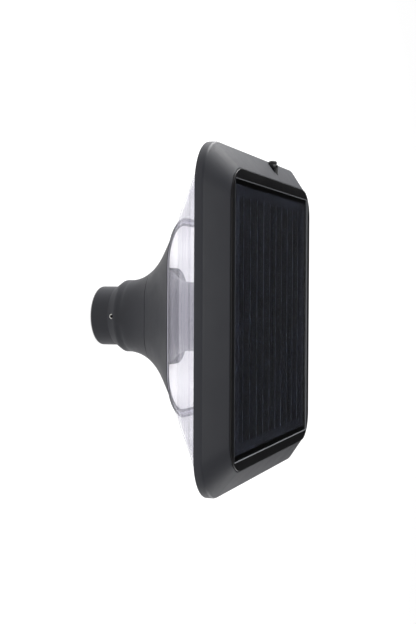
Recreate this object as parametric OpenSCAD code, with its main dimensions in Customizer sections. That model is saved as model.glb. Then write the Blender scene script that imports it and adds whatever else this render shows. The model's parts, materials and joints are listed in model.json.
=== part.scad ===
// Solar post-top light: a square solar head on a flared bell that fits over a round pole.
// Millimetres, +Z up, origin at the centre of the socket's open bottom end.

/* [Pole socket] */
// Inside diameter of the collar, for a 60.3 mm pole
pole_bore_d = 62; // [50:0.5:76]
// Outside diameter of the collar
collar_d = 68.8; // [66:0.2:90]
// Height of the straight collar
collar_h = 21.9; // [18:0.1:24]
// Height at which the shoulder reaches the neck
shoulder_z = 32.4; // [30:0.1:38]
// Depth of the pole bore
socket_depth = 62; // [50:1:66]
// Core diameter of the three threaded inserts
set_hole_d = 4.2; // [3.3:0.1:5]
// Height of the three threaded inserts
set_hole_z = 28; // [26:0.5:29]

/* [Bell] */
// Diameter of the round neck
neck_d = 84; // [82:0.5:92]
// Height of the joint between socket and bell
joint_z = 76; // [74:1:80]
// Width of the bell's rounded-square rim
rim_size = 218.8; // [180:0.2:250]
// Height of the bell's rim
rim_z = 127; // [122:1:140]
// Corner radius of the rim
rim_corner_r = 54.2; // [44:0.2:60]
// Wall thickness of socket and bell
bell_wall = 2.8; // [2.2:0.1:3.4]

/* [Window] */
// Height from the bell's rim to the underside of the head
window_h = 54.6; // [44:0.2:66]
// Wall thickness of the clear window
window_wall = 2.4; // [2:0.1:3]
// Corner radius of the window's upper edge
window_corner_r = 38; // [28:1:44]
// Distance from the head's side to the window's upper edge
window_inset = 8; // [6.5:0.5:12]
// Height of the two fine ribs round the window
rib_h = 0.5; // [0.3:0.1:0.8]

/* [Head] */
// Width of the square head
head_size = 360; // [320:1:440]
// Corner radius of the head
head_corner_r = 46.4; // [44:0.2:60]
// Height of the vertical lip
lip_h = 9.1; // [8:0.1:12]
// Height of the sloped border
slope_h = 19.6; // [18:0.1:26]
// Width of the sloped border, seen from above
slope_run = 25.7; // [22:0.1:28]
// Wall thickness of the head
shell_wall = 2.6; // [2.2:0.1:3]

/* [Solar panel] */
// Width of the flat black frame round the panel
bezel_w = 10.4; // [8:0.1:14]
// Thickness of the frame
bezel_t = 1.5; // [1:0.1:3]
// Thickness of the cover glass
glass_t = 3.2; // [2.8:0.1:3.2]
// Cell strips side by side along X
cell_columns = 10; // [6:1:12]
// Ribbons over each row of cells
ribbons_per_row = 5; // [2:1:6]

/* [Light ring] */
// Diameter of the battery column
column_d = 79; // [76:0.5:80]
// Outside diameter of the ring board
led_board_d = 144; // [130:1:170]
// Number of light-emitting packages
led_count = 24; // [12:1:36]

/* [Battery] */
// Diameter of one battery cell
battery_d = 26.2; // [18.4:0.1:26.5]
// Length of one battery cell
battery_len = 65.5; // [60:0.5:66]

/* [Button] */
// Diameter of the button
button_d = 9.8; // [8:0.1:10]
// How far the button can be pressed
button_travel = 2.5; // [1:0.1:3]
// Place of the button along the side
button_y = 38; // [-60:1:60]

/* [Hidden] */
$fn = 64;
// radial clearance of sliding and running fits
run_gap = 0.05;
// clearance between parts that only sit next to each other
sit_gap = 0.3;
// steps in each rounded corner of a lofted ring
arc_steps = 10;
// a lofted ring this close to round is treated as round
round_ratio = 0.985;

bore_r = pole_bore_d / 2;
collar_r = collar_d / 2;
neck_r = neck_d / 2;
stop_r = bore_r - 4;
insert_r = set_hole_d / 2 + 1.05;
insert_in_r = bore_r + 0.4;
// the insert's outer end is flush with the lowest point of its hole on the shoulder's cone
insert_out_r = collar_r - 0.1
    + (set_hole_z - insert_r - collar_h) * (neck_r - collar_r) / (shoulder_z - collar_h);
cable_r = 12;
plate_t = 4;
joint_plate_z = joint_z - plate_t;

// flare of the neck and bell: straight, then a parabola, then straight again to the rim
rim_half = rim_size / 2;
flare_z = shoulder_z + 8.6;
straight_z = rim_z - 24;
flare_len = straight_z - flare_z;
flare_k = (rim_half - neck_r) / (flare_len * flare_len + 2 * flare_len * (rim_z - straight_z));
square_power = 0.42;

rebate_d = 2.6;
rim_lip = 1.8;
gasket_t = 0.6;

head_half = head_size / 2;
lip_z = rim_z + window_h;
slope_z = lip_z + lip_h;
head_top_z = slope_z + slope_h;
top_half = head_half - slope_run;
top_corner_r = head_corner_r - 12.7;
slope_wall = shell_wall * sqrt(1 + (slope_h / slope_run) * (slope_h / slope_run)) * slope_run / slope_h;

window_half = head_half - window_inset;
window_z0 = rim_z - rebate_d + gasket_t;
window_z1 = lip_z + 2.2;
window_foot = rim_half - rim_lip - sit_gap;
foot_corner_r = rim_corner_r - rim_lip - sit_gap;
window_slope = (window_half - window_foot) / (lip_z - window_z0);
window_wall_x = window_wall * sqrt(1 + window_slope * window_slope);
window_top_z = lip_z - window_wall_x / 2;

base_z = window_z1 + gasket_t;
base_t = 2.6;
base_top_z = base_z + base_t;
base_half = head_half - shell_wall - 0.4;
base_corner_r = head_corner_r - shell_wall - 0.4;

bezel_half = top_half - 1;
open_half = bezel_half - bezel_w;
panel_half = open_half + 2.4;
pocket_half = panel_half + sit_gap;
tape_t = 1;
sheet_t = 0.6;
cell_t = 0.2;
ribbon_t = 0.2;
seal_t = cell_t + ribbon_t;
glass_z = head_top_z - glass_t;
seal_z = glass_z - seal_t;
sheet_z = seal_z - sheet_t;
ledge_z = sheet_z - tape_t;
ceiling_z = ledge_z - shell_wall;
ledge_w = 15;
cell_gap = 0.8;
cell_field_x = 2 * open_half - 34;
cell_field_y = 2 * open_half - 48;
cell_pitch_x = cell_field_x / cell_columns;
cell_pitch_y = cell_field_y / 2;
ribbon_pitch = cell_pitch_y / ribbons_per_row;
ribbon_w = 1;

column_r = column_d / 2;
column_wall = 2.5;
column_in_r = column_r - column_wall;
column_z0 = joint_z + 3.4;
column_foot_z = column_z0 + 5.6;
// the foot stays this far inside the bell's wall
foot_gap = 1.3;
column_foot_r = flare_half(column_foot_z - 2) - foot_gap
    - bell_wall * sqrt(1 + flare_slope(column_foot_z - 2) * flare_slope(column_foot_z - 2));
foot_fillet_r = column_foot_r - column_r;
column_top_z = base_z;
joint_screw_r = stop_r - 5;
top_screw_r = column_in_r - 3.8;

screw_hole_r = 2;
screw_r = screw_hole_r - run_gap;
screw_pass_r = 2.2;
head_r = 3.6;
head_h = 2.4;
boss_r = 4.5;

board_z = base_z - 1.6;
board_t = 1.6;
led_size = 3;
led_t = 0.7;
led_ring_r = led_board_d / 2 - 15;
board_in_r = column_r + 3.5;
board_screw_r = led_board_d / 2 - 5;

holder_z = column_z0 + 12;
battery_z = holder_z + 2.2;
battery_r = battery_d / 2;
battery_gap = 0.6;
battery_ring_r = (battery_d + battery_gap) / sqrt(3);
battery_top_z = battery_z + battery_len;
holder_t = 4;
tab_t = 0.2;
tab_hub_r = 4;

control_x = 0;
control_y = -72;
control_z = base_top_z + 4;
control_size = [80, 44, 1.6];
control_top_z = control_z + control_size[2];
// faces of the terminal blocks and the switch header, from the board's centre
terminal_y = -4;
header_x = -24;

button_r = button_d / 2;
button_z = slope_z + 6.5;
button_out_x = -head_half;
bush_r = button_r + 1;
bush_front_x = button_out_x + 5;
cap_in_bush = 8;
pin_r = 1.5;
pad_x = -(head_half - 20);
switch_len = 8.5;

charcoal = [0.22, 0.22, 0.235];
black = [0.05, 0.05, 0.055];
white = [0.92, 0.92, 0.9];
steel = [0.7, 0.7, 0.72];
silicone = [0.84, 0.84, 0.86];
copper = [0.75, 0.45, 0.25];

// ---- shared shapes ----

// points of one rounded-square ring, corner by corner
function ring(half, r, z) = [
    for (q = [0:3])
        for (i = [0:arc_steps])
            let (a = 90 * (q + i / arc_steps))
            let (cx = (half - r) * (q == 0 || q == 3 ? 1 : -1))
            let (cy = (half - r) * (q < 2 ? 1 : -1))
            [cx + r * cos(a), cy + r * sin(a), z]
];

// a round ring in the same number of points
function round_ring(r, z) = ring(r, r * round_ratio, z);

// skin over rings that run up the outside and down the inside and close on the first
module loft_loop(rings) {
    n = len(rings[0]);
    m = len(rings);
    points = [for (one = rings) for (p = one) p];
    faces = [
        for (i = [0:m - 1])
            for (j = [0:n - 1])
                let (j2 = (j + 1) % n)
                let (i2 = (i + 1) % m)
                let (a = i * n + j, b = i * n + j2, c = i2 * n + j2, d = i2 * n + j)
                for (side = [0:1])
                    side == 0 ? [a, d, c] : [a, c, b]
    ];
    polyhedron(points, faces, convexity = 6);
}

module rounded_square(half, r) {
    square([2 * half, 2 * (half - r)], center = true);
    square([2 * (half - r), 2 * half], center = true);
    for (x = [-1, 1])
        for (y = [-1, 1])
            translate([x * (half - r), y * (half - r)])
                circle(r);
}

module square_ring(outer, outer_r, inner, inner_r, t) {
    linear_extrude(t)
        difference() {
            rounded_square(outer, outer_r);
            rounded_square(inner, inner_r);
        }
}

module at_angles(count, r, first = 0) {
    for (i = [0:count - 1])
        rotate([0, 0, first + 360 * i / count])
            translate([r, 0, 0])
                children();
}

// pan-head screw, head seat at z = 0, shank running down
module screw(shank_r, shank_len, cap_r, cap_h) {
    translate([0, 0, -shank_len])
        cylinder(h = shank_len, r = shank_r);
    difference() {
        rotate_extrude()
            polygon([[0, 0], [cap_r, 0], [cap_r, cap_h * 0.5], [cap_r * 0.75, cap_h], [0, cap_h]]);
        translate([-cap_r * 0.5, -cap_r * 0.09, cap_h * 0.5])
            cube([cap_r, cap_r * 0.18, cap_h]);
        translate([-cap_r * 0.09, -cap_r * 0.5, cap_h * 0.5])
            cube([cap_r * 0.18, cap_r, cap_h]);
    }
}

// corner cutting: every inner corner becomes two softer ones
function soften(p) = [
    p[0],
    for (i = [0:len(p) - 2])
        each [0.75 * p[i] + 0.25 * p[i + 1], 0.25 * p[i] + 0.75 * p[i + 1]],
    p[len(p) - 1]
];

function unit(v) = v / norm(v);

// direction of a path at one of its points
function heading(p, i) = unit(p[min(i + 1, len(p) - 1)] - p[max(i - 1, 0)]);

// round wire along a softened path; side is a direction the path never runs in
module wire(path, r, side) {
    p = soften(soften(path));
    n = 8;
    points = [
        for (i = [0:len(p) - 1])
            let (t = heading(p, i))
            let (u = unit(cross(t, side)))
            let (w = cross(u, t))
            for (a = [0:360 / n:359])
                p[i] + r * (cos(a) * w + sin(a) * u)
    ];
    last = n * (len(p) - 1);
    faces = [
        [for (j = [0:n - 1]) j],
        [for (j = [n - 1:-1:0]) last + j],
        for (i = [0:len(p) - 2])
            for (j = [0:n - 1])
                let (a = i * n + j, b = i * n + (j + 1) % n)
                for (half = [0:1])
                    half == 0 ? [a, a + n, b + n] : [a, b + n, b]
    ];
    polyhedron(points, faces, convexity = 6);
}

module wire_pair(path, r, step, side = [1, 0, 0]) {
    wire(path, r, side);
    wire([for (p = path) p + step], r, side);
}

// ---- bell and socket shape ----

// half width of the outside of the neck and bell at a height
function flare_half(z) =
    z < flare_z ? neck_r
    : z < straight_z ? neck_r + flare_k * (z - flare_z) * (z - flare_z)
    : neck_r + flare_k * flare_len * flare_len + 2 * flare_k * flare_len * (z - straight_z);

// slope of that outside, as width gained per height
function flare_slope(z) = 2 * flare_k * (min(max(z, flare_z), straight_z) - flare_z);

// how far the section has turned from round towards the rim's rounded square
function corner_ratio(z) =
    let (t = max(0, (z - flare_z) / (rim_z - flare_z)))
    min(round_ratio, 1 - (1 - rim_corner_r / rim_half) * pow(t, square_power));

// one ring of the bell's section, moved in by a wall measured square to the wall
function bell_ring(z, wall) =
    let (outer = flare_half(z))
    let (half = outer - wall * sqrt(1 + flare_slope(z) * flare_slope(z)))
    ring(half, half - outer * (1 - corner_ratio(z)), z);

function level(a, b, i, n) = a + (b - a) * i / n;

// ---- pole socket, bell and column ----

module socket_core() {
    // straight collar, sleeve, pole stop and joint plate, all turned on one axis
    rotate_extrude($fn = 128)
        polygon([
            [bore_r, 0], [collar_r - 2, 0], [collar_r - 0.6, 0.6], [collar_r, 2],
            [collar_r, joint_z], [cable_r, joint_z], [cable_r, joint_plate_z], [stop_r, joint_plate_z],
            [stop_r, socket_depth], [bore_r, socket_depth]
        ]);
}

module socket_skin() {
    steps = 6;
    under = collar_r - 0.5;
    loft_loop([
        round_ring(under, collar_h - 0.7),
        round_ring(neck_r, shoulder_z),
        for (i = [1:steps]) bell_ring(level(shoulder_z + 2, joint_z, i, steps), 0),
        for (i = [steps:-1:1]) bell_ring(level(shoulder_z + 2, joint_z, i, steps), bell_wall),
        round_ring(neck_r - bell_wall, shoulder_z + 3),
        round_ring(under - 1, shoulder_z + 3),
        round_ring(under - 1, collar_h - 0.7)
    ]);
}

// radial web between the sleeve and the outer skin
module socket_web() {
    z0 = shoulder_z + 1;
    web_t = 2.4;
    reach = bell_wall * 0.6;
    translate([0, web_t / 2, 0])
        rotate([90, 0, 0])
            linear_extrude(web_t)
                polygon([
                    [collar_r - 1, z0], [flare_half(z0) - reach, z0],
                    for (i = [1:6])
                        let (z = level(z0, joint_z - 1, i, 6))
                        [flare_half(z) - reach * sqrt(1 + flare_slope(z) * flare_slope(z)), z],
                    [collar_r - 1, joint_z - 1]
                ]);
}

module pole_socket() {
    color(charcoal)
        difference() {
            union() {
                socket_core();
                socket_skin();
                for (a = [0:90:270])
                    rotate([0, 0, a])
                        socket_web();
            }
            at_angles(3, bore_r - 1, -90)
                translate([0, 0, set_hole_z])
                    rotate([0, 90, 0])
                        cylinder(h = neck_r, r = insert_r + run_gap);
            at_angles(4, joint_screw_r, 45)
                translate([0, 0, joint_plate_z - 1])
                    cylinder(h = plate_t + 2, r = screw_pass_r);
        }
}

// threaded inserts for the set screws
module set_inserts() {
    color(steel)
        at_angles(3, insert_in_r, -90)
            translate([0, 0, set_hole_z])
                rotate([0, 90, 0])
                    difference() {
                        cylinder(h = insert_out_r - insert_in_r, r = insert_r);
                        translate([0, 0, -1])
                            cylinder(h = insert_out_r - insert_in_r + 2, r = set_hole_d / 2);
                    }
}

module bell() {
    steps = 8;
    floor_z = joint_z + 3.4;
    shelf_z = rim_z - rebate_d;
    shelf_half = rim_half - rim_lip;
    color(charcoal)
        difference() {
            loft_loop([
                for (i = [0:steps]) bell_ring(level(joint_z, rim_z, i, steps), 0),
                ring(shelf_half, rim_corner_r - rim_lip, rim_z),
                ring(shelf_half, rim_corner_r - rim_lip, shelf_z),
                for (i = [steps:-1:0]) bell_ring(level(floor_z, shelf_z, i, steps), bell_wall),
                round_ring(cable_r, floor_z),
                round_ring(cable_r, joint_z)
            ]);
            at_angles(4, joint_screw_r, 45)
                translate([0, 0, joint_z - 1])
                    cylinder(h = plate_t + 2, r = screw_pass_r);
        }
}

module column() {
    foot_r = column_foot_r;
    boss_h = 8;
    color([0.42, 0.42, 0.45])
        difference() {
            union() {
                rotate_extrude($fn = 96)
                    polygon([
                        [cable_r, column_z0], [foot_r - 5, column_z0], [foot_r - 5, column_foot_z - 2],
                        [foot_r, column_foot_z - 1.2],
                        for (a = [0:15:90])
                            [foot_r - foot_fillet_r * sin(a), column_foot_z + foot_fillet_r * (1 - cos(a))],
                        [column_r, column_top_z], [column_in_r, column_top_z],
                        [column_in_r, column_z0 + 3], [cable_r, column_z0 + 3]
                    ]);
                at_angles(4, joint_screw_r, 45)
                    translate([0, 0, column_z0 + 1])
                        cylinder(h = boss_h + 2, r = boss_r);
                at_angles(4, top_screw_r, 45)
                    translate([0, 0, column_top_z - 16])
                        cylinder(h = 16, r = boss_r);
            }
            at_angles(4, joint_screw_r, 45)
                translate([0, 0, column_z0 - 1])
                    cylinder(h = boss_h + 5, r = screw_hole_r);
            at_angles(4, top_screw_r, 45)
                translate([0, 0, column_top_z - 17])
                    cylinder(h = 18, r = screw_hole_r);
        }
}

module bowl_reflector() {
    steps = 6;
    z0 = column_foot_z + 0.4;
    z1 = rim_z - rebate_d - 0.4;
    outer_in = bell_wall + sit_gap;
    color(white)
        loft_loop([
            for (i = [0:steps]) bell_ring(level(z0, z1, i, steps), outer_in),
            for (i = [steps:-1:0]) bell_ring(level(z0, z1, i, steps), outer_in + 1)
        ]);
}

// ---- window ----

// half width of the window's outside at a height
function window_at(z) = window_foot + window_slope * (z - window_z0);

function window_ring(z, inset) =
    let (t = (z - window_z0) / (lip_z - window_z0))
    ring(window_at(z) - inset, foot_corner_r + (window_corner_r - foot_corner_r) * t - inset, z);

// the three rings of one fine rib
function window_rib(z) = [window_ring(z - 1, 0), window_ring(z, -rib_h), window_ring(z + 1, 0)];

module diffuser() {
    color([0.86, 0.85, 0.92, 0.4])
        loft_loop([
            window_ring(window_z0, 0),
            each window_rib(level(rim_z, lip_z, 36, 100)),
            each window_rib(level(rim_z, lip_z, 75, 100)),
            window_ring(lip_z, 0),
            ring(window_half, window_corner_r, window_z1),
            ring(window_at(window_top_z) - window_wall_x, window_corner_r - window_wall_x, window_z1),
            window_ring(window_top_z, window_wall_x),
            window_ring(window_z0, window_wall_x)
        ]);
}

module lower_gasket() {
    color(silicone)
        translate([0, 0, rim_z - rebate_d])
            square_ring(window_foot, foot_corner_r, window_foot - window_wall_x,
                foot_corner_r - window_wall_x, gasket_t);
}

module upper_gasket() {
    inner = window_at(window_top_z) - window_wall_x;
    color(silicone)
        translate([0, 0, window_z1])
            square_ring(window_half, window_corner_r, inner, window_corner_r - window_wall_x, gasket_t);
}

// ---- head base and light ring ----

housing_screw_at = head_half - 28;
housing_corner_at = head_half - 40;
lead_hole_at = [0, -(column_r + 8), 0];

// the eight places where the base plate is screwed to the housing
module at_housing_screws() {
    for (x = [-1:1])
        for (y = [-1:1])
            if (x != 0 || y != 0)
                let (reach = x != 0 && y != 0 ? housing_corner_at : housing_screw_at)
                translate([x * reach, y * reach, 0])
                    children();
}

module at_board_corners() {
    for (x = [-1, 1])
        for (y = [-1, 1])
            let (dx = x * (control_size[0] / 2 - 4), dy = y * (control_size[1] / 2 - 4))
            translate([control_x + dx, control_y + dy, 0])
                children();
}

module base_plate() {
    color(white)
        difference() {
            union() {
                translate([0, 0, base_z])
                    linear_extrude(base_t)
                        rounded_square(base_half, base_corner_r);
                at_board_corners()
                    translate([0, 0, base_z + 1])
                        cylinder(h = control_z - base_z - 1, r = 3);
            }
            translate([0, 0, base_z - 1])
                cylinder(h = base_t + 2, r = 24);
            at_housing_screws()
                translate([0, 0, base_z - 1])
                    cylinder(h = base_t + 2, r = screw_pass_r);
            at_angles(4, top_screw_r, 45)
                translate([0, 0, base_z - 1])
                    cylinder(h = base_t + 2, r = screw_pass_r);
            at_angles(6, board_screw_r, 30)
                translate([0, 0, base_z - 1])
                    cylinder(h = base_t + 2, r = 1.3);
            translate(lead_hole_at + [0, 0, base_z - 1])
                cylinder(h = base_t + 2, r = 4);
            at_board_corners()
                translate([0, 0, base_z - 1])
                    cylinder(h = control_z - base_z + 2, r = 1.3);
        }
}

module led_board() {
    color([0.95, 0.95, 0.95])
        translate([0, 0, board_z])
            difference() {
                cylinder(h = board_t, r = led_board_d / 2, $fn = 96);
                translate([0, 0, -1])
                    cylinder(h = board_t + 2, r = board_in_r);
                at_angles(6, board_screw_r, 30)
                    translate([0, 0, -1])
                        cylinder(h = board_t + 2, r = 1.5);
                translate(lead_hole_at - [0, 0, 1])
                    cylinder(h = board_t + 2, r = 4);
            }
}

module leds() {
    color([0.98, 0.85, 0.35])
        at_angles(led_count, led_ring_r)
            translate([-led_size / 2, -led_size / 2, board_z - led_t])
                cube([led_size, led_size, led_t]);
}

module led_screws() {
    color(steel)
        at_angles(6, board_screw_r, 30)
            translate([0, 0, board_z])
                mirror([0, 0, 1])
                    screw(1.25, board_t + base_t - 0.4, 2.4, 1.6);
}

module lead_grommet() {
    color(black)
        translate(lead_hole_at + [0, 0, base_z])
            rotate_extrude()
                polygon([
                    [2.6, 0], [3.95, 0], [3.95, base_t], [5.5, base_t], [5.5, base_t + 1.2],
                    [2.6, base_t + 1.2]
                ]);
}

// ---- head housing ----

// half width of the outside of the sloped border at a height
function slope_half(z) = head_half - slope_run * (z - slope_z) / slope_h;

module housing_shell() {
    edge = 0.8;
    skirt_half = head_half - shell_wall;
    skirt_r = head_corner_r - shell_wall;
    bend_z = slope_z - (slope_wall - shell_wall) * slope_h / slope_run;
    cavity_half = slope_half(ceiling_z) - slope_wall;
    ledge_half = pocket_half - ledge_w;
    loft_loop([
        ring(head_half - edge, head_corner_r - edge, lip_z),
        ring(head_half, head_corner_r, lip_z + edge),
        ring(head_half, head_corner_r, slope_z),
        ring(top_half, top_corner_r, head_top_z),
        ring(pocket_half, 3, head_top_z),
        ring(pocket_half, 3, ledge_z),
        ring(ledge_half, 12, ledge_z),
        ring(ledge_half, 12, ceiling_z),
        ring(cavity_half, head_corner_r - 16, ceiling_z),
        ring(skirt_half, skirt_r, bend_z),
        ring(skirt_half, skirt_r, lip_z)
    ]);
}

module along_button(x) {
    translate([x, button_y, button_z])
        rotate([0, 90, 0])
            children();
}

module housing() {
    color(charcoal)
        difference() {
            union() {
                housing_shell();
                at_housing_screws()
                    translate([0, 0, base_top_z])
                        cylinder(h = ceiling_z - base_top_z + 1, r = boss_r);
                intersection() {
                    along_button(-head_half + 1)
                        cylinder(h = 19, r = bush_r + 2.4);
                    translate([0, 0, lip_z + 1])
                        hull() {
                            linear_extrude(lip_h - 1)
                                rounded_square(head_half - 1, head_corner_r - 1);
                            translate([0, 0, head_top_z - lip_z - 1.5])
                                linear_extrude(0.5)
                                    rounded_square(top_half - 1, top_corner_r - 1);
                        }
                }
            }
            at_housing_screws()
                translate([0, 0, base_top_z - 1])
                    cylinder(h = ceiling_z - base_top_z, r = screw_hole_r);
            along_button(-head_half - 2)
                cylinder(h = 40, r = bush_r + sit_gap);
            along_button(pad_x)
                cylinder(h = 13, r = bush_r + 3);
        }
}

module housing_screws() {
    color(steel)
        at_housing_screws()
            translate([0, 0, base_z])
                mirror([0, 0, 1])
                    screw(screw_r, ceiling_z - base_z - 4, head_r, head_h);
}

module column_screws() {
    color(steel)
        at_angles(4, top_screw_r, 45)
            translate([0, 0, base_top_z])
                screw(screw_r, base_t + 14, head_r, head_h);
}

module joint_screws() {
    color(steel)
        at_angles(4, joint_screw_r, 45)
            translate([0, 0, joint_plate_z])
                mirror([0, 0, 1])
                    screw(screw_r, plate_t + 14, head_r, head_h);
}

// ---- battery in the column ----

module at_battery() {
    at_angles(3, battery_ring_r, 90)
        children();
}

module battery_cells() {
    color([0.2, 0.45, 0.75])
        at_battery()
            translate([0, 0, battery_z]) {
                translate([0, 0, tab_t])
                    cylinder(h = battery_len - 1.6, r = battery_r);
                translate([0, 0, battery_len - 2])
                    cylinder(h = 2 - tab_t, r = 6);
            }
}

module battery_holder() {
    holder_r = column_in_r - 0.6;
    color([0.15, 0.15, 0.16])
        difference() {
            union() {
                translate([0, 0, holder_z])
                    cylinder(h = holder_t, r = holder_r);
                translate([0, 0, battery_top_z - holder_t + 2])
                    cylinder(h = holder_t, r = holder_r);
                at_angles(3, holder_r - 3, 30)
                    translate([0, 0, holder_z])
                        cylinder(h = battery_top_z + 2 - holder_z, r = 2.2);
            }
            at_battery()
                translate([0, 0, battery_z])
                    cylinder(h = battery_len, r = battery_r + 0.2);
            for (a = [90:120:330])
                rotate([0, 0, a])
                    translate([holder_r - 5, 0, holder_z - 1])
                        cylinder(h = battery_top_z + 6 - holder_z, r = 2.5);
            translate([0, 0, holder_z - 1])
                cylinder(h = battery_top_z + 6 - holder_z, r = tab_hub_r + 0.2);
        }
}

// flat three-armed strip that joins the ends of the cells
module battery_tab() {
    cylinder(h = tab_t, r = tab_hub_r);
    for (a = [90:120:330])
        rotate([0, 0, a])
            translate([0, -3, 0])
                cube([battery_ring_r + 4, 6, tab_t]);
}

module battery_tabs() {
    color(steel) {
        translate([0, 0, battery_z])
            battery_tab();
        translate([0, 0, battery_top_z - tab_t])
            battery_tab();
    }
}

// ---- controller and leads in the head ----

module controller_board() {
    color([0.05, 0.32, 0.16])
        translate([control_x, control_y, control_z])
            difference() {
                translate([-control_size[0] / 2, -control_size[1] / 2, 0])
                    cube(control_size);
                translate([-control_x, -control_y, 0])
                    at_board_corners()
                        translate([0, 0, -1])
                            cylinder(h = 4, r = 1.5);
            }
}

module controller_parts() {
    // chip, switch header, choke, two capacitors and two terminal blocks
    translate([control_x, control_y, control_top_z])
        color(black) {
            translate([-5, -5, 0])
                cube([10, 10, 1.6]);
            translate([header_x, 2, 0])
                cube([7, 6, 5]);
            translate([-24, -11, 0])
                cube([11, 11, 5]);
            for (x = [14, 22])
                translate([x, -17, 0])
                    cylinder(h = 6, r = 3);
            for (x = [12, 24])
                translate([x, terminal_y - 8, 0])
                    cube([9, 8, 6.5]);
        }
}

module board_screws() {
    color(steel)
        at_board_corners()
            translate([0, 0, control_top_z])
                screw(1.25, 6, 2.4, 1.6);
}

box_size = [56, 40, 11];
box_y = 62;

module junction_box() {
    color(black)
        translate([-box_size[0] / 2, box_y - box_size[1] / 2, sheet_z - box_size[2]])
            cube(box_size);
}

module panel_leads() {
    y0 = box_y - box_size[1] / 2;
    z0 = sheet_z - 6;
    color([0.7, 0.1, 0.08])
        wire_pair([
            [28, y0, z0], [28, y0 - 12, z0], [28, control_y + 34, control_z + 6],
            [28, control_y + 4, control_z + 5], [28, control_y + terminal_y, control_z + 5]
        ], 1.1, [-3, 0, 0]);
}

module battery_leads() {
    color([0.1, 0.1, 0.1])
        wire_pair([
            [-1.5, 0, battery_top_z], [-1.5, 0, base_top_z + 5],
            [12, -14, base_top_z + 9], [15, control_y + 4, control_z + 5],
            [15, control_y + terminal_y, control_z + 5]
        ], 1.1, [3, 0, 0]);
}

module led_leads() {
    color([0.85, 0.85, 0.82])
        wire_pair([
            lead_hole_at + [1.1, 0, board_z + 0.1], lead_hole_at + [1.1, 0, control_top_z + 5],
            [1.1, control_y + 10, control_top_z + 5], [1.1, control_y + 10, control_top_z]
        ], 0.9, [-2.2, 0, 0]);
}

module switch_leads() {
    x0 = pad_x + 2.5 + switch_len;
    color([0.1, 0.3, 0.7])
        wire_pair([
            [x0, button_y, button_z - 1.5], [x0 + 8, button_y, button_z - 1.5],
            [x0 + 20, button_y - 20, base_top_z + 3], [-50, control_y + 10, control_top_z + 1.2],
            [header_x - 8, control_y + 5, control_top_z + 1.2], [header_x, control_y + 5, control_top_z + 1.2]
        ], 0.8, [0, 0, 2.1], [0, 0, 1]);
}

// ---- solar panel ----

module panel_tape() {
    color([0.2, 0.2, 0.2])
        translate([0, 0, ledge_z])
            square_ring(panel_half, 2.4, panel_half - 10, 2.4, tape_t);
}

module backsheet() {
    color([0.08, 0.08, 0.09])
        translate([0, 0, sheet_z])
            linear_extrude(sheet_t)
                rounded_square(panel_half, 2.4);
}

module edge_seal() {
    color(black)
        translate([0, 0, seal_z])
            square_ring(panel_half, 2.4, panel_half - 8, 2.4, seal_t);
}

module solar_cells() {
    color([0.04, 0.05, 0.1])
        translate([-cell_field_x / 2, -cell_field_y / 2, seal_z])
            for (i = [0:cell_columns - 1])
                for (j = [0:1])
                    translate([i * cell_pitch_x + cell_gap / 2, j * cell_pitch_y + cell_gap / 2, 0])
                        cube([cell_pitch_x - cell_gap, cell_pitch_y - cell_gap, cell_t]);
}

module cell_ribbons() {
    color(copper)
        translate([-cell_field_x / 2, -cell_field_y / 2, seal_z + cell_t])
            for (j = [0:2 * ribbons_per_row - 1])
                translate([0, (j + 0.5) * ribbon_pitch - ribbon_w / 2, 0])
                    cube([cell_field_x, ribbon_w, ribbon_t]);
}

module glass() {
    color([0.05, 0.06, 0.09, 0.5])
        translate([0, 0, glass_z])
            linear_extrude(glass_t)
                rounded_square(panel_half, 2.4);
}

module bezel() {
    color(black)
        translate([0, 0, head_top_z])
            square_ring(bezel_half, top_corner_r - 1, open_half, 2.3, bezel_t);
}

// ---- push button, on a level axis through the -X slope ----

module switch_bush() {
    // the bush runs from just outside the slope to the nut, bored for the cap and its pin
    color(black)
        along_button(bush_front_x)
            difference() {
                cylinder(h = pad_x + 2.5 - bush_front_x, r = bush_r);
                translate([0, 0, -1])
                    cylinder(h = cap_in_bush + button_travel + 1.5, r = button_r + run_gap);
                cylinder(h = pad_x + 3 - bush_front_x, r = pin_r + 0.1);
            }
}

module switch_seal() {
    color(black)
        along_button(pad_x)
            difference() {
                cylinder(h = 0.8, r = bush_r + 2);
                translate([0, 0, -1])
                    cylinder(h = 3, r = bush_r + run_gap);
            }
}

module switch_nut() {
    color(steel)
        along_button(pad_x + 0.8)
            difference() {
                cylinder(h = 1.7, r = bush_r + 2, $fn = 6);
                translate([0, 0, -1])
                    cylinder(h = 4, r = bush_r + run_gap);
            }
}

module switch_body() {
    color([0.1, 0.1, 0.1])
        along_button(pad_x + 2.5) {
            cylinder(h = switch_len - 3, r = bush_r);
            for (y = [-2.2, 2.2])
                translate([y, -0.4, switch_len - 3])
                    cube([0.8, 0.8, 3]);
        }
}

module button_cap() {
    dome = 1.4;
    cap_l = bush_front_x + cap_in_bush - button_out_x;
    pin_l = pad_x + 2.5 - button_travel - 0.2 - button_out_x;
    color([0.08, 0.08, 0.085])
        along_button(button_out_x)
            rotate_extrude($fn = 48)
                polygon([
                    [0, 0], [button_r - dome, 0], [button_r - dome * 0.3, dome * 0.3], [button_r, dome],
                    [button_r, cap_l], [pin_r, cap_l], [pin_r, pin_l], [0, pin_l]
                ]);
}

pole_socket();
set_inserts();
bell();
column();
bowl_reflector();
diffuser();
lower_gasket();
upper_gasket();
base_plate();
led_board();
leds();
led_screws();
lead_grommet();
housing();
housing_screws();
column_screws();
joint_screws();
battery_cells();
battery_holder();
battery_tabs();
controller_board();
controller_parts();
board_screws();
junction_box();
panel_leads();
battery_leads();
led_leads();
switch_leads();
panel_tape();
backsheet();
edge_seal();
solar_cells();
cell_ribbons();
glass();
bezel();
switch_bush();
switch_seal();
switch_nut();
switch_body();
button_cap();
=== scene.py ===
"""Solar post-top light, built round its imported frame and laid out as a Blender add-on."""

import json
import math

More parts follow.
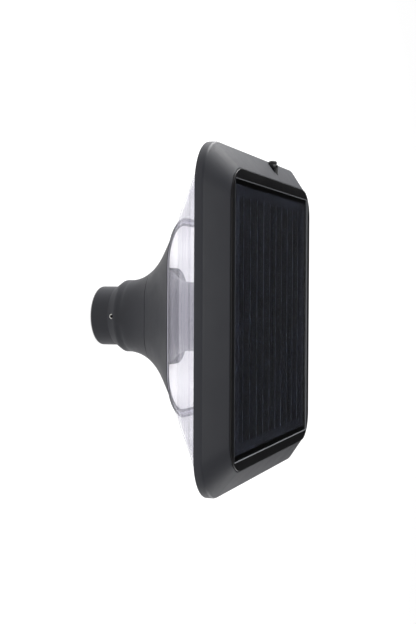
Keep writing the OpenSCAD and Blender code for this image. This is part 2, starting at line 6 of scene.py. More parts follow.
import bmesh
import bpy
import numpy as np
from bpy.props import FloatProperty, FloatVectorProperty, IntProperty, PointerProperty
from mathutils import Matrix, Vector


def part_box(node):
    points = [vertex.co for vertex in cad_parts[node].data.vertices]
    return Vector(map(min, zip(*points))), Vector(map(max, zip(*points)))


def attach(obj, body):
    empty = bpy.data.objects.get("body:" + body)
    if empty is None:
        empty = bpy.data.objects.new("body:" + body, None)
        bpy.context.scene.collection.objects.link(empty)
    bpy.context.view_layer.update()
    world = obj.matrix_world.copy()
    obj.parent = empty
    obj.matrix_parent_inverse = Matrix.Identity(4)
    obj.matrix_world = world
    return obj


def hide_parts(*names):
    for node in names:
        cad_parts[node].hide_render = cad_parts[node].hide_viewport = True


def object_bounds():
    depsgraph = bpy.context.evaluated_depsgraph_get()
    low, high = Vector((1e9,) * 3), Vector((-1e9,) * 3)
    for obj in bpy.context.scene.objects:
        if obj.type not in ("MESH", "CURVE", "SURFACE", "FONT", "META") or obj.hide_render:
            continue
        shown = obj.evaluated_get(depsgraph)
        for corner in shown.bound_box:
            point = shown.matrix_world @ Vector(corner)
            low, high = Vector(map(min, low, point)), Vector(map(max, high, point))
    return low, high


bl_info = {
    "name": "Solar Post-Top Light",
    "version": (1, 0, 0),
    "blender": (4, 5, 0),
    "location": "View3D > Sidebar > Post Light",
    "description": "Builds a square solar post-top light with its finishes and a plain stage",
    "category": "Object",
}

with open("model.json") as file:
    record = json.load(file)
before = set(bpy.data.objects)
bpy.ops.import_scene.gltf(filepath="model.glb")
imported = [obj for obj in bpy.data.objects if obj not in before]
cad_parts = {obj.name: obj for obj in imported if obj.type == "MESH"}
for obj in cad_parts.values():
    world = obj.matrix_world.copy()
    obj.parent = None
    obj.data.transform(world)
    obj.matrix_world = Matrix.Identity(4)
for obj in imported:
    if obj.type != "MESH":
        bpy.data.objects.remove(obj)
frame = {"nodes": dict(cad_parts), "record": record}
NODES = frame["nodes"]
CAD_LOW, CAD_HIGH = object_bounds()
MM = 0.001
SMOOTH_ANGLE = math.radians(32)
# height where the window turns from lightly to heavily frosted
WINDOW_SPLIT = 0.1467
# shank radius, head radius and head height of the two sizes of screw
LARGE_SCREW = (1.95 * MM, 3.6 * MM, 2.4 * MM)
SMALL_SCREW = (1.25 * MM, 2.4 * MM, 1.6 * MM)
# radius of the ring of screws that joins socket, bell and column
JOINT_RING = (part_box("joint_screws")[1].x - LARGE_SCREW[1]) * math.sqrt(2)
# radius of a screw boss, of the pilot hole in it, and of the way that a screw passes through
BOSS = 4.5 * MM
PILOT = 2 * MM
SCREW_WAY = 2.2 * MM
# wall of a threaded insert, and the play round it in its hole
INSERT_WALL = 1.05 * MM
INSERT_PLAY = 0.05 * MM
# radius of the cable way through the plates of socket, bell and column
CABLE_WAY = 12 * MM


# ---------------------------------------------------------------- sizes from the frame


def half_width(name):
    """Half the width of a CAD node that is centred on the axis."""
    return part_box(name)[1].x


def low(name):
    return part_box(name)[0].z


def high(name):
    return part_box(name)[1].z


def head_screws():
    """Places of the eight screws under the head: four corners and four side middles."""
    half, corner_inset, side_inset = half_width("housing"), 40 * MM, 28 * MM
    places = []
    for x in (-1, 0, 1):
        for y in (-1, 0, 1):
            if x or y:
                reach = half - (corner_inset if x and y else side_inset)
                places.append((x * reach, y * reach))
    return places


# ---------------------------------------------------------------- settings


def length(name, text, value, top=1.0):
    return FloatProperty(name=name, description=text, default=value, min=0.0, max=top,
                         unit="LENGTH", subtype="DISTANCE", precision=5)


def linear(code):
    """sRGB hex text to linear RGB."""
    parts = [int(code[i:i + 2], 16) / 255 for i in (1, 3, 5)]
    return tuple(c / 12.92 if c <= 0.04045 else ((c + 0.055) / 1.055) ** 2.4 for c in parts)


def colour(name, text, code):
    return FloatVectorProperty(name=name, description=text, default=linear(code), size=3,
                               subtype="COLOR", min=0.0, max=1.0)


class HeadSettings(bpy.types.PropertyGroup):
    corner_radius: length("Corner radius", "Corner radius of the head's lip", 46.4 * MM)
    top_corner_radius: length("Top corner radius", "Corner radius where the slope ends", 33.7 * MM)
    lip_height: length("Lip height", "Height of the vertical lip", 9.1 * MM)
    slope_run: length("Slope width", "Width of the sloped border from above", 25.7 * MM)
    wall: length("Wall", "Wall thickness of the head", 2.6 * MM)
    edge: length("Edge rounding", "Rounding of the head's outer edges", 1.1 * MM)


class WindowSettings(bpy.types.PropertyGroup):
    foot_corner_radius: length("Lower corner radius", "Corner radius at the bell", 52.1 * MM)
    corner_radius: length("Upper corner radius", "Corner radius under the head", 38.0 * MM)
    wall: length("Wall", "Wall thickness of the window", 2.4 * MM)
    rib_pitch: length("Rib pitch", "Distance between the ribs of a band", 1.5 * MM)
    rib_height: length("Rib height", "How far a rib stands out", 0.4 * MM)


class BellSettings(bpy.types.PropertyGroup):
    collar_height: length("Collar height", "Height of the straight collar", 21.9 * MM)
    shoulder: length("Shoulder", "Height where the shoulder meets the neck", 32.4 * MM)
    neck_radius: length("Neck radius", "Radius of the round neck", 42.0 * MM)
    rim_corner_radius: length("Rim corner radius", "Corner radius of the rim", 54.2 * MM)
    wall: length("Wall", "Wall thickness of socket and bell", 2.8 * MM)
    seam: length("Seam", "Depth of the V where socket and bell meet", 0.45 * MM)


class PanelSettings(bpy.types.PropertyGroup):
    opening: length("Opening", "Half width of the frame's opening", 142.9 * MM)
    columns: IntProperty(name="Cell columns", description="Cell strips side by side", default=10, min=1)
    ribbons: IntProperty(name="Ribbons", description="Ribbons across the cells", default=10, min=1)
    cell_gap: length("Cell gap", "Gap between neighbouring cells", 0.8 * MM)


class LightSettings(bpy.types.PropertyGroup):
    led_count: IntProperty(name="Packages", description="Light-emitting packages on the ring", default=24)
    led_ring: length("Ring radius", "Radius of the ring of packages", 57.0 * MM)
    led_size: length("Package size", "Side of one package", 3.0 * MM)


class ColourSettings(bpy.types.PropertyGroup):
    body: colour("Body", "Moulded body of head, bell and socket", "#2c2d32")
    trim: colour("Trim", "Flat frame, bush and button", "#08080a")
    window: colour("Window", "Tint of the clear window", "#c1bfcd")
    liner: colour("Liner", "White liner and base plate", "#f4f3f5")
    column: colour("Column", "Battery column", "#37363e")
    cell: colour("Cells", "Silicon of the solar cells", "#080a10")
    floor: colour("Floor", "Unlit colour of the stage floor", "#7f7f80")


class PostLightSettings(bpy.types.PropertyGroup):
    head: PointerProperty(type=HeadSettings)
    window: PointerProperty(type=WindowSettings)
    bell: PointerProperty(type=BellSettings)
    panel: PointerProperty(type=PanelSettings)
    light: PointerProperty(type=LightSettings)
    colours: PointerProperty(type=ColourSettings)


def settings():
    return bpy.context.scene.post_light


# ---------------------------------------------------------------- mesh helpers


def square_points(half, radius, steps):
    """Points of one rounded square, corner by corner, anticlockwise from +X."""
    points = []
    for corner, (sx, sy) in enumerate(((1, 1), (-1, 1), (-1, -1), (1, -1))):
        for i in range(steps + 1):
            a = math.pi / 2 * (corner + i / steps)
            points.append((sx * (half - radius) + radius * math.cos(a),
                           sy * (half - radius) + radius * math.sin(a)))
    return points


def rounded(profile, steps=4):
    """A closed profile of (half, corner radius, z, rounding) points with its corners rounded off."""
    out = []
    count = len(profile)
    for i, point in enumerate(profile):
        here = np.array(point[:3], float)
        reach = point[3] if len(point) > 3 else 0.0
        if reach <= 0:
            out.append(tuple(here))
            continue
        ends = []
        for other in (profile[i - 1], profile[(i + 1) % count]):
            way = np.array(other[:3], float) - here
            size = math.hypot(way[0], way[2])
            ends.append(here + way * min(reach / size, 0.45))
        for k in range(steps + 1):
            t = k / steps
            out.append(tuple((1 - t) ** 2 * ends[0] + 2 * t * (1 - t) * here + t * t * ends[1]))
    return out


def finish_mesh(name, bm, material, body, angle=SMOOTH_ANGLE, weld=1e-6):
    """Cleans a bmesh and makes it an object that rides on a body."""
    bmesh.ops.remove_doubles(bm, verts=bm.verts, dist=weld)
    bmesh.ops.dissolve_degenerate(bm, edges=bm.edges, dist=weld)
    bmesh.ops.recalc_face_normals(bm, faces=bm.faces)
    mesh = bpy.data.meshes.new(name)
    bm.to_mesh(mesh)
    bm.free()
    mesh.shade_smooth()
    mesh.set_sharp_from_angle(angle=angle)
    piece = bpy.data.objects.new(name, mesh)
    bpy.context.scene.collection.objects.link(piece)
    piece.data.materials.append(material)
    if body:
        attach(piece, body)
    return piece


def loft_into(bm, rings, steps):
    """Adds a skin over rings that run up the outside, down the inside and close on the first."""
    rows = []
    for half, radius, z in rings:
        radius = min(radius, half * 0.9995)
        rows.append([bm.verts.new((x, y, z)) for x, y in square_points(half, radius, steps)])
    count = len(rows[0])
    for row, following in zip(rows, rows[1:] + rows[:1]):
        for j in range(count):
            k = (j + 1) % count
            bm.faces.new((row[j], row[k], following[k], following[j]))


def lathe_into(bm, profile, steps, at=(0, 0, 0), turn=None):
    """Adds a turned solid: (radius, height) points, closed on the axis or on themselves."""
    turn = turn or Matrix.Identity(3)
    rows = []
    for radius, z in profile:
        if radius < 1e-7:
            rows.append([bm.verts.new(turn @ Vector((0, 0, z)) + Vector(at))])
            continue
        rows.append([bm.verts.new(turn @ Vector((radius * math.cos(2 * math.pi * i / steps),
                                                 radius * math.sin(2 * math.pi * i / steps), z)) + Vector(at))
                     for i in range(steps)])
    pairs = list(zip(rows, rows[1:]))
    if len(rows[0]) > 1 or len(rows[-1]) > 1:
        pairs.append((rows[-1], rows[0]))
    for a, b in pairs:
        for i in range(steps):
            k = (i + 1) % steps
            corners = [a[i % len(a)], a[k % len(a)], b[k % len(b)], b[i % len(b)]]
            corners = [v for n, v in enumerate(corners) if v is not corners[n - 1]]
            if len(corners) > 2:
                bm.faces.new(corners)


def arc(cx, cz, radius, first, last, steps):
    """Points of an arc in the (radius, height) plane, angles in degrees."""
    return [(cx + radius * math.cos(math.radians(first + (last - first) * i / steps)),
             cz + radius * math.sin(math.radians(first + (last - first) * i / steps)))
            for i in range(steps + 1)]


def cut(piece, cutter):
    """Takes the cutter out of a piece and deletes the cutter."""
    tool = piece.modifiers.new("cut", "BOOLEAN")
    tool.operation, tool.object, tool.solver = "DIFFERENCE", cutter, "EXACT"
    apply_result(piece)
    bpy.data.objects.remove(cutter)


def fuse(piece, other):
    """Joins another closed solid into a piece and deletes the other."""
    tool = piece.modifiers.new("fuse", "BOOLEAN")
    tool.operation, tool.object, tool.solver = "UNION", other, "EXACT"
    apply_result(piece)
    bpy.data.objects.remove(other)


def apply_result(piece):
    graph = bpy.context.evaluated_depsgraph_get()
    mesh = bpy.data.meshes.new_from_object(piece.evaluated_get(graph))
    piece.modifiers.clear()
    old = piece.data
    piece.data = mesh
    bpy.data.meshes.remove(old)
    mesh.shade_smooth()
    mesh.set_sharp_from_angle(angle=SMOOTH_ANGLE)


def rod(radius, start, way, size, steps=32):
    """A plain closed cylinder, used only as a cutter or to be fused."""
    bm = bmesh.new()
    turn = Vector(way).to_track_quat("Z", "Y").to_matrix()
    lathe_into(bm, [(0, 0), (radius, 0), (radius, size), (0, size)], steps, start, turn)
    return finish_mesh("tool", bm, None, None)


def ring_places(count, radius, first=0.0):
    return [(radius * math.cos(math.radians(first + 360 * i / count)),
             radius * math.sin(math.radians(first + 360 * i / count))) for i in range(count)]


# ---------------------------------------------------------------- node helper and materials


def add(tree, kind, sockets=None, **values):
    """Adds a node, sets its settings, and sets or links its sockets."""
    made = tree.nodes.new(kind)
    for key, value in values.items():
        setattr(made, key, value)
    for key, value in (sockets or {}).items():
        socket = made.inputs[key]
        if isinstance(value, bpy.types.NodeSocket):
            tree.links.new(value, socket)
        else:
            socket.default_value = value
    return made


def new_material(name):
    """An empty material with its output and Object coordinates."""
    material = bpy.data.materials.new(name)
    material.use_nodes = True
    tree = material.node_tree
    tree.nodes.clear()
    where = add(tree, "ShaderNodeTexCoord").outputs["Object"]
    return material, tree, where


def grain_scale(size_mm):
    """Noise scale, in Object coordinates, whose patches are about this size."""
    return 1 / (size_mm * MM)


def moulded(name, tint, rough, spread, grain_mm, bump_mm, mottle=0.06, ior=1.5, shine=0.5, sheen=0.0):
    """Opaque moulded surface: mottled tint, uneven gloss and a fine raised grain."""
    material, tree, where = new_material(name)
    cloud = add(tree, "ShaderNodeTexNoise",
                {"Vector": where, "Scale": grain_scale(38), "Detail": 4.0, "Roughness": 0.6})
    dark = [c * (1 - mottle) for c in tint] + [1]
    light = [min(1, c * (1 + mottle)) for c in tint] + [1]
    shade = add(tree, "ShaderNodeMix", {"Factor": cloud.outputs["Fac"]}, data_type="RGBA")
    colours = [s for s in shade.inputs if s.type == "RGBA"]
    colours[0].default_value, colours[1].default_value = dark, light
    grain = add(tree, "ShaderNodeTexNoise",
                {"Vector": where, "Scale": grain_scale(grain_mm), "Detail": 2.0, "Roughness": 0.5})
    gloss = add(tree, "ShaderNodeMapRange",
                {"Value": cloud.outputs["Fac"], "From Min": 0.3, "From Max": 0.7,
                 "To Min": rough - spread, "To Max": rough + spread})
    bump = add(tree, "ShaderNodeBump",
               {"Height": grain.outputs["Fac"], "Strength": 0.5, "Distance": bump_mm * MM})
    surface = add(tree, "ShaderNodeBsdfPrincipled",
                  {"Base Color": next(s for s in shade.outputs if s.type == "RGBA"),
                   "Roughness": gloss.outputs["Result"], "Normal": bump.outputs["Normal"],
                   "IOR": ior, "Specular IOR Level": shine, "Sheen Weight": sheen})
    add(tree, "ShaderNodeOutputMaterial", {"Surface": surface.outputs["BSDF"]})
    return material


def metal(name, tint, rough, streak_mm, axis_stretch):
    """Bare metal with fine drawn or turned streaks; the IOR stays at its default."""
    material, tree, where = new_material(name)
    stretch = add(tree, "ShaderNodeMapping", {"Vector": where, "Scale": axis_stretch})
    streak = add(tree, "ShaderNodeTexNoise",
                 {"Vector": stretch.outputs["Vector"], "Scale": grain_scale(streak_mm), "Detail": 3.0})
    gloss = add(tree, "ShaderNodeMapRange",
                {"Value": streak.outputs["Fac"], "To Min": rough - 0.08, "To Max": rough + 0.12})
    ramp = add(tree, "ShaderNodeValToRGB", {"Fac": streak.outputs["Fac"]})
    ramp.color_ramp.elements[0].color = [c * 0.82 for c in tint] + [1]
    ramp.color_ramp.elements[1].color = list(tint) + [1]
    bump = add(tree, "ShaderNodeBump",
               {"Height": streak.outputs["Fac"], "Strength": 0.3, "Distance": 0.02 * MM})
    surface = add(tree, "ShaderNodeBsdfPrincipled",
                  {"Base Color": ramp.outputs["Color"], "Metallic": 1.0,
                   "Roughness": gloss.outputs["Result"], "Normal": bump.outputs["Normal"]})
    add(tree, "ShaderNodeOutputMaterial", {"Surface": surface.outputs["BSDF"]})
    return material


def window_material(tint):
    """Moulded polycarbonate window: lightly frosted low down and more from the first ribs up, so
    the column shows through it as a soft grey band between two bright lobes."""
    material, tree, where = new_material("frosted polycarbonate")
    split = add(tree, "ShaderNodeSeparateXYZ", {"Vector": where})
    frost = add(tree, "ShaderNodeMapRange",
                {"Value": split.outputs["Z"], "From Min": WINDOW_SPLIT - 0.4 * MM,
                 "From Max": WINDOW_SPLIT + 0.4 * MM, "To Min": 0.21, "To Max": 0.37})
    # flow streaks of 1.6 mm run round the window, drawn fifty times longer than high
    stretch = add(tree, "ShaderNodeMapping", {"Vector": where, "Scale": (0.02, 0.02, 1)})
    streak = add(tree, "ShaderNodeTexNoise",
                 {"Vector": stretch.outputs["Vector"], "Scale": grain_scale(1.6), "Detail": 2.0})
    milk = add(tree, "ShaderNodeMapRange",
               {"Value": streak.outputs["Fac"], "From Min": 0.35, "From Max": 0.65,
                "To Min": -0.015, "To Max": 0.02})
    # the foot sits in milky silicone, which whitens it up to the bell's rim
    foot = add(tree, "ShaderNodeMapRange",
               {"Value": split.outputs["Z"], "From Min": high("bell") - 0.6 * MM,
                "From Max": high("bell"), "To Min": 0.7, "To Max": 0.0})
    haze = add(tree, "ShaderNodeMath", {0: frost.outputs["Result"], 1: milk.outputs["Result"]},
               operation="ADD")
    cover = add(tree, "ShaderNodeMath", {0: haze.outputs["Value"], 1: foot.outputs["Result"]},
                operation="ADD", use_clamp=True)
    grain = add(tree, "ShaderNodeTexNoise",
                {"Vector": where, "Scale": grain_scale(0.9), "Detail": 2.0})
    bump = add(tree, "ShaderNodeBump",
               {"Height": grain.outputs["Fac"], "Strength": 0.25, "Distance": 0.03 * MM})
    surface = add(tree, "ShaderNodeBsdfPrincipled",
                  {"Base Color": (*tint, 1), "Roughness": 0.22, "IOR": 1.58,
                   "Alpha": cover.outputs["Value"], "Normal": bump.outputs["Normal"]})
    add(tree, "ShaderNodeOutputMaterial", {"Surface": surface.outputs["BSDF"]})
    return material


def cover_glass_material():
    """Tempered low-iron glass, rolled with a very fine prism texture that dulls reflections."""
    material, tree, where = new_material("rolled tempered glass")
    prism = add(tree, "ShaderNodeTexVoronoi", {"Vector": where, "Scale": grain_scale(1.1)})
    bump = add(tree, "ShaderNodeBump",
               {"Height": prism.outputs["Distance"], "Strength": 0.15, "Distance": 0.04 * MM})
    cloud = add(tree, "ShaderNodeTexNoise", {"Vector": where, "Scale": grain_scale(30), "Detail": 3.0})
    gloss = add(tree, "ShaderNodeMapRange",
                {"Value": cloud.outputs["Fac"], "To Min": 0.08, "To Max": 0.14})
    surface = add(tree, "ShaderNodeBsdfPrincipled",
                  {"Base Color": (0.86, 0.9, 1.0, 1), "Roughness": gloss.outputs["Result"],
                   "IOR": 1.22, "Transmission Weight": 1.0, "Normal": bump.outputs["Normal"]})
    add(tree, "ShaderNodeOutputMaterial", {"Surface": surface.outputs["BSDF"]})
    return material


def silicon_material(tint):
    """Textured monocrystalline silicon under its blue-black nitride coat, with printed fingers."""
    material, tree, where = new_material("monocrystalline silicon")
    cloud = add(tree, "ShaderNodeTexNoise", {"Vector": where, "Scale": grain_scale(30), "Detail": 2.0})
    tone = add(tree, "ShaderNodeValToRGB", {"Fac": cloud.outputs["Fac"]})
    tone.color_ramp.elements[0].color = [c * 0.8 for c in tint] + [1]
    tone.color_ramp.elements[1].color = [c * 1.25 for c in tint] + [1]
    # printed silver fingers, drawn 3.2 mm apart and half a millimetre wide so that they show;
    # the wave node turns once every 2 pi / 20 of its scaled coordinate
    lines = add(tree, "ShaderNodeTexWave", {"Vector": where, "Scale": 2 * math.pi / 20 / (3.2 * MM)},
                wave_type="BANDS", bands_direction="Y", wave_profile="SIN")
    edge = add(tree, "ShaderNodeMapRange",
               {"Value": lines.outputs["Fac"], "From Min": 0.93, "From Max": 1.0, "To Max": 0.12})
    both = add(tree, "ShaderNodeMix", {"Factor": edge.outputs["Result"]}, data_type="RGBA")
    colours = [s for s in both.inputs if s.type == "RGBA"]
    tree.links.new(tone.outputs["Color"], colours[0])
    colours[1].default_value = (*linear("#5b5f68"), 1)
    surface = add(tree, "ShaderNodeBsdfPrincipled",
                  {"Base Color": next(s for s in both.outputs if s.type == "RGBA"),
                   "Roughness": 0.42, "Specular IOR Level": 0.2})
    add(tree, "ShaderNodeOutputMaterial", {"Surface": surface.outputs["BSDF"]})
    return material


def board_material(name, mask, trace, pitch_mm):
    """Circuit board: solder mask over faint raised copper tracks and a dusty gloss."""
    material, tree, where = new_material(name)
    cells = add(tree, "ShaderNodeTexVoronoi", {"Vector": where, "Scale": grain_scale(pitch_mm)},
                feature="DISTANCE_TO_EDGE", distance="MANHATTAN")
    line = add(tree, "ShaderNodeMapRange",
               {"Value": cells.outputs["Distance"], "From Min": 0.05, "From Max": 0.09})
    mix = add(tree, "ShaderNodeMix", {"Factor": line.outputs["Result"]}, data_type="RGBA")
    colours = [s for s in mix.inputs if s.type == "RGBA"]
    colours[0].default_value, colours[1].default_value = (*trace, 1), (*mask, 1)
    bump = add(tree, "ShaderNodeBump",
               {"Height": line.outputs["Result"], "Strength": 0.4, "Distance": 0.05 * MM})
    bump.invert = True
    surface = add(tree, "ShaderNodeBsdfPrincipled",
                  {"Base Color": next(s for s in mix.outputs if s.type == "RGBA"),
                   "Roughness": 0.34, "IOR": 1.52, "Normal": bump.outputs["Normal"]})
    add(tree, "ShaderNodeOutputMaterial", {"Surface": surface.outputs["BSDF"]})
    return material


MATERIALS = {}


def make_materials():
    """Every finish of the light, named for the real material and how it was made."""
    c = settings().colours
    # moulded ABS with a fine spark-eroded grain of 0.3 mm, drawn at 0.9 mm: a soft even charcoal
    MATERIALS["body"] = moulded("textured ABS", tuple(c.body), 0.52, 0.05, 0.9, 0.045, shine=0.25)
    # smoother black ABS: darker and a little glossier than the body
    MATERIALS["trim"] = moulded("satin black ABS", tuple(c.trim), 0.42, 0.05, 0.7, 0.02, shine=0.3)
    # EPDM rubber: dull, slightly dusty black with a faint sheen
    MATERIALS["rubber"] = moulded("EPDM rubber", linear("#1b1b1c"), 0.72, 0.08, 0.5, 0.04, 0.15, 1.47,
                                  sheen=0.15)
    # glossy white ABS: bounces the light, clean with a weak moulding cloud
    MATERIALS["liner"] = moulded("white ABS", tuple(c.liner), 0.38, 0.05, 1.2, 0.02, 0.02)
    # grey moulded column, satin
    MATERIALS["column"] = moulded("grey ABS", tuple(c.column), 0.45, 0.06, 0.8, 0.03)
    # cast silicone gaskets: milky, soft gloss
    MATERIALS["silicone"] = moulded("milky silicone", linear("#dcdbe2"), 0.45, 0.05, 1.5, 0.03, 0.05, 1.41)
    # translucent silicone bead, tooled smooth, light grey so that it paints the glass edge highlight as a
    # thin light line round the panel
    MATERIALS["sealant"] = moulded("clear silicone sealant", linear("#707276"), 0.35, 0.05, 2.0, 0.05,
                                   0.1, 1.41)
    # black composite sheet behind the cells
    MATERIALS["sheet"] = moulded("black PET laminate", linear("#212229"), 0.5, 0.06, 0.6, 0.02, 0.1)
    # closed-cell acrylic foam tape, matt with open pores of 0.4 mm
    MATERIALS["foam"] = moulded("acrylic foam tape", linear("#2a2a2b"), 0.85, 0.05, 0.4, 0.12, 0.12)
    # PVC shrink sleeve on the cells: glossy with small wrinkles of 3 mm
    MATERIALS["sleeve"] = moulded("PVC shrink sleeve", linear("#1f4f92"), 0.28, 0.05, 3.0, 0.08, 0.05, 1.53)
    # extruded PVC insulation: satin with a fine grain
    for dye, code in (("red", "#9c1f1a"), ("black", "#17181a"), ("white", "#dad9d2"), ("blue", "#21489c")):
        MATERIALS["wire_" + dye] = moulded(dye + " PVC insulation", linear(code), 0.4, 0.05, 0.6, 0.02)
    # white ceramic body of a package, and its silicone-bound phosphor
    MATERIALS["ceramic"] = moulded("white ceramic", linear("#efeee8"), 0.35, 0.04, 0.5, 0.01, 0.03, 1.6)
    MATERIALS["phosphor"] = moulded("silicone phosphor", linear("#d9b13a"), 0.3, 0.04, 0.4, 0.03, 0.1, 1.41)
    # stainless steel screws, turned: short round streaks of 0.2 mm
    MATERIALS["steel"] = metal("A2 stainless steel", linear("#c9c8c5"), 0.28, 0.6, (1, 1, 6))
    # nickel strip, rolled: long streaks along X
    MATERIALS["nickel"] = metal("rolled nickel strip", linear("#bdb9b0"), 0.32, 0.5, (0.15, 1, 1))
    # tinned copper ribbon: dull silver, streaks along its length
    MATERIALS["ribbon"] = metal("tinned copper ribbon", linear("#e2e4ea"), 0.7, 0.3, (0.1, 1, 1))
    MATERIALS["window"] = window_material(tuple(c.window))
    MATERIALS["glass"] = cover_glass_material()
    MATERIALS["silicon"] = silicon_material(tuple(c.cell))
    # aluminium-core board under white mask, and a green FR4 board
    MATERIALS["ring_board"] = board_material("white solder mask", linear("#eeeeea"), linear("#dcdad2"), 9.0)
    MATERIALS["board"] = board_material("green FR4 board", linear("#0f4a2a"), linear("#1c6b3f"), 3.0)


# ---------------------------------------------------------------- shape of neck and bell


class Flare:
    """The outside of the neck and bell: straight, then a parabola, then straight to the rim."""

    def __init__(self):
        s = settings().bell
        self.rim_z, self.rim_half = high("bell"), half_width("bell")
        self.neck = s.neck_radius
        self.start = s.shoulder + 8.6 * MM
        self.straight = self.rim_z - 24 * MM
        self.run = self.straight - self.start
        grow = self.run ** 2 + 2 * self.run * (self.rim_z - self.straight)
        self.k = (self.rim_half - self.neck) / grow
        self.squareness = 1 - s.rim_corner_radius / self.rim_half

    def half(self, z):
        if z < self.start:
            return self.neck
        if z < self.straight:
            return self.neck + self.k * (z - self.start) ** 2
        return self.neck + self.k * self.run ** 2 + 2 * self.k * self.run * (z - self.straight)

    def slope(self, z):
        return 2 * self.k * (min(max(z, self.start), self.straight) - self.start)

    def ring(self, z, wall=0.0):
        """(half width, corner radius, z) of the skin moved in by a wall."""
        outer = self.half(z)
        half = outer - wall * math.sqrt(1 + self.slope(z) ** 2)
        turned = max(0.0, (z - self.start) / (self.rim_z - self.start)) ** 0.42
        return half, half - outer * self.squareness * turned, z


def levels(first, last, count):
    return [first + (last - first) * i / count for i in range(count + 1)]


# ---------------------------------------------------------------- repeated shapes


def input_socket(tree, name, kind, value=None):
    socket = tree.interface.new_socket(name=name, in_out="INPUT", socket_type=kind)
    if value is not None:
        socket.default_value = value


def end_tree(tree, placed, material):
    """Makes the instances real, gives them their material and ends the tree."""
    tree.interface.new_socket(name="Result", in_out="OUTPUT", socket_type="NodeSocketGeometry")
    solid = add(tree, "GeometryNodeRealizeInstances", {"Geometry": placed.outputs["Instances"]})
    painted = add(tree, "GeometryNodeSetMaterial",
                  {"Geometry": solid.outputs["Geometry"], "Material": material})
    add(tree, "NodeGroupOutput", {"Result": painted.outputs["Geometry"]})
    return tree


def placing_tree(material):
    """Geometry Nodes: puts a template on every point, turned by the point's own 'turn'."""
    tree = bpy.data.node_groups.new("place on points", "GeometryNodeTree")
    input_socket(tree, "Points", "NodeSocketGeometry")
    input_socket(tree, "Template", "NodeSocketObject")
    input_socket(tree, "Size", "NodeSocketFloat", 1.0)
    start = add(tree, "NodeGroupInput")
    shape = add(tree, "GeometryNodeObjectInfo", {"Object": start.outputs["Template"]})
    turn = add(tree, "GeometryNodeInputNamedAttribute", {"Name": "turn"}, data_type="FLOAT_VECTOR")
    placed = add(tree, "GeometryNodeInstanceOnPoints",
                 {"Points": start.outputs["Points"], "Instance": shape.outputs["Geometry"],
                  "Rotation": turn.outputs["Attribute"], "Scale": start.outputs["Size"]})
    return end_tree(tree, placed, material)


def grid_tree(material):
    """Geometry Nodes: a template on a grid of columns and rows, centred on the axis."""
    tree = bpy.data.node_groups.new("place on grid", "GeometryNodeTree")
    input_socket(tree, "Geometry", "NodeSocketGeometry")
    input_socket(tree, "Template", "NodeSocketObject")
    input_socket(tree, "Columns", "NodeSocketInt", 2)
    input_socket(tree, "Rows", "NodeSocketInt", 2)
    input_socket(tree, "Width", "NodeSocketFloat", 0.1)
    input_socket(tree, "Depth", "NodeSocketFloat", 0.1)
    start = add(tree, "NodeGroupInput")
    grid = add(tree, "GeometryNodeMeshGrid",
               {"Size X": start.outputs["Width"], "Size Y": start.outputs["Depth"],
                "Vertices X": start.outputs["Columns"], "Vertices Y": start.outputs["Rows"]})
    shape = add(tree, "GeometryNodeObjectInfo", {"Object": start.outputs["Template"]})
    placed = add(tree, "GeometryNodeInstanceOnPoints",
                 {"Points": grid.outputs["Mesh"], "Instance": shape.outputs["Geometry"]})
    return end_tree(tree, placed, material)


def run_tree(name, base, tree, values, template, body):
    """Runs a tree on a base mesh and keeps the result as a plain mesh on its body."""
    carrier = bpy.data.objects.new(name + "_carrier", base)
    bpy.context.scene.collection.objects.link(carrier)
    tool = carrier.modifiers.new("repeat", "NODES")
    tool.node_group = tree
    for item in tree.interface.items_tree:
        if item.item_type == "SOCKET" and item.in_out == "INPUT" and item.name in values:
            tool[item.identifier] = values[item.name]
    bpy.context.view_layer.update()
    graph = bpy.context.evaluated_depsgraph_get()
    mesh = bpy.data.meshes.new_from_object(carrier.evaluated_get(graph))
    mesh.name = name
    if not mesh.vertices:
        raise RuntimeError(name + ": the tree made nothing")
    mesh.shade_smooth()
    mesh.set_sharp_from_angle(angle=SMOOTH_ANGLE)
    bpy.data.objects.remove(carrier)
    bpy.data.objects.remove(template)
    piece = bpy.data.objects.new(name, mesh)
    bpy.context.scene.collection.objects.link(piece)
    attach(piece, body)
    return piece


def place_on(name, places, template, material, body):
    """places are (position, Euler turn) pairs."""
    base = bpy.data.meshes.new(name + "_points")
    base.from_pydata([tuple(p) for p, _ in places], [], [])
    turn = base.attributes.new("turn", "FLOAT_VECTOR", "POINT")
    turn.data.foreach_set("vector", [v for _, t in places for v in t])
    tree = placing_tree(material)
    return run_tree(name, base, tree, {"Template": template, "Size": 1.0}, template, body)


def screw_template(shank, size, cap, cap_height):
    """Pan-head screw with a cross recess; its head seat is at zero and its shank runs down."""
    bm = bmesh.new()
    dome = [(cap * math.cos(a), cap_height * (0.35 + 0.65 * math.sin(a)))
            for a in (0.0, 0.35, 0.7, 1.05, 1.3)]
    thread = []
    pitch = 0.7 * MM
    turns = int(size / pitch)
    for i in range(turns):
        z = -pitch * (i + 0.5)
        thread += [(shank * 0.86, z + pitch * 0.3), (shank, z), (shank * 0.86, z - pitch * 0.3)]
    profile = ([(0, cap_height)] + dome[::-1] + [(cap, 0), (shank * 0.86, 0)] + thread
               + [(shank * 0.5, -size), (0, -size)])
    lathe_into(bm, profile, 24)
    screw = finish_mesh("screw_template", bm, MATERIALS["steel"], None)
    slot = cap * 0.18
    for wide, deep in ((cap * 1.15, slot), (slot, cap * 1.15)):
        box = bmesh.new()
        bmesh.ops.create_cube(box, size=1.0)
        bmesh.ops.scale(box, verts=box.verts, vec=(wide, deep, cap_height))
        bmesh.ops.translate(box, verts=box.verts, vec=(0, 0, cap_height * 0.95))
        cut(screw, finish_mesh("tool", box, None, None))
    return screw


# ---------------------------------------------------------------- operators


class PieceOperator(bpy.types.Operator):
    """Base of the operators that build pieces."""

    bl_options = {"REGISTER", "UNDO"}

    def execute(self, context):
        self.build(settings())
        return {"FINISHED"}


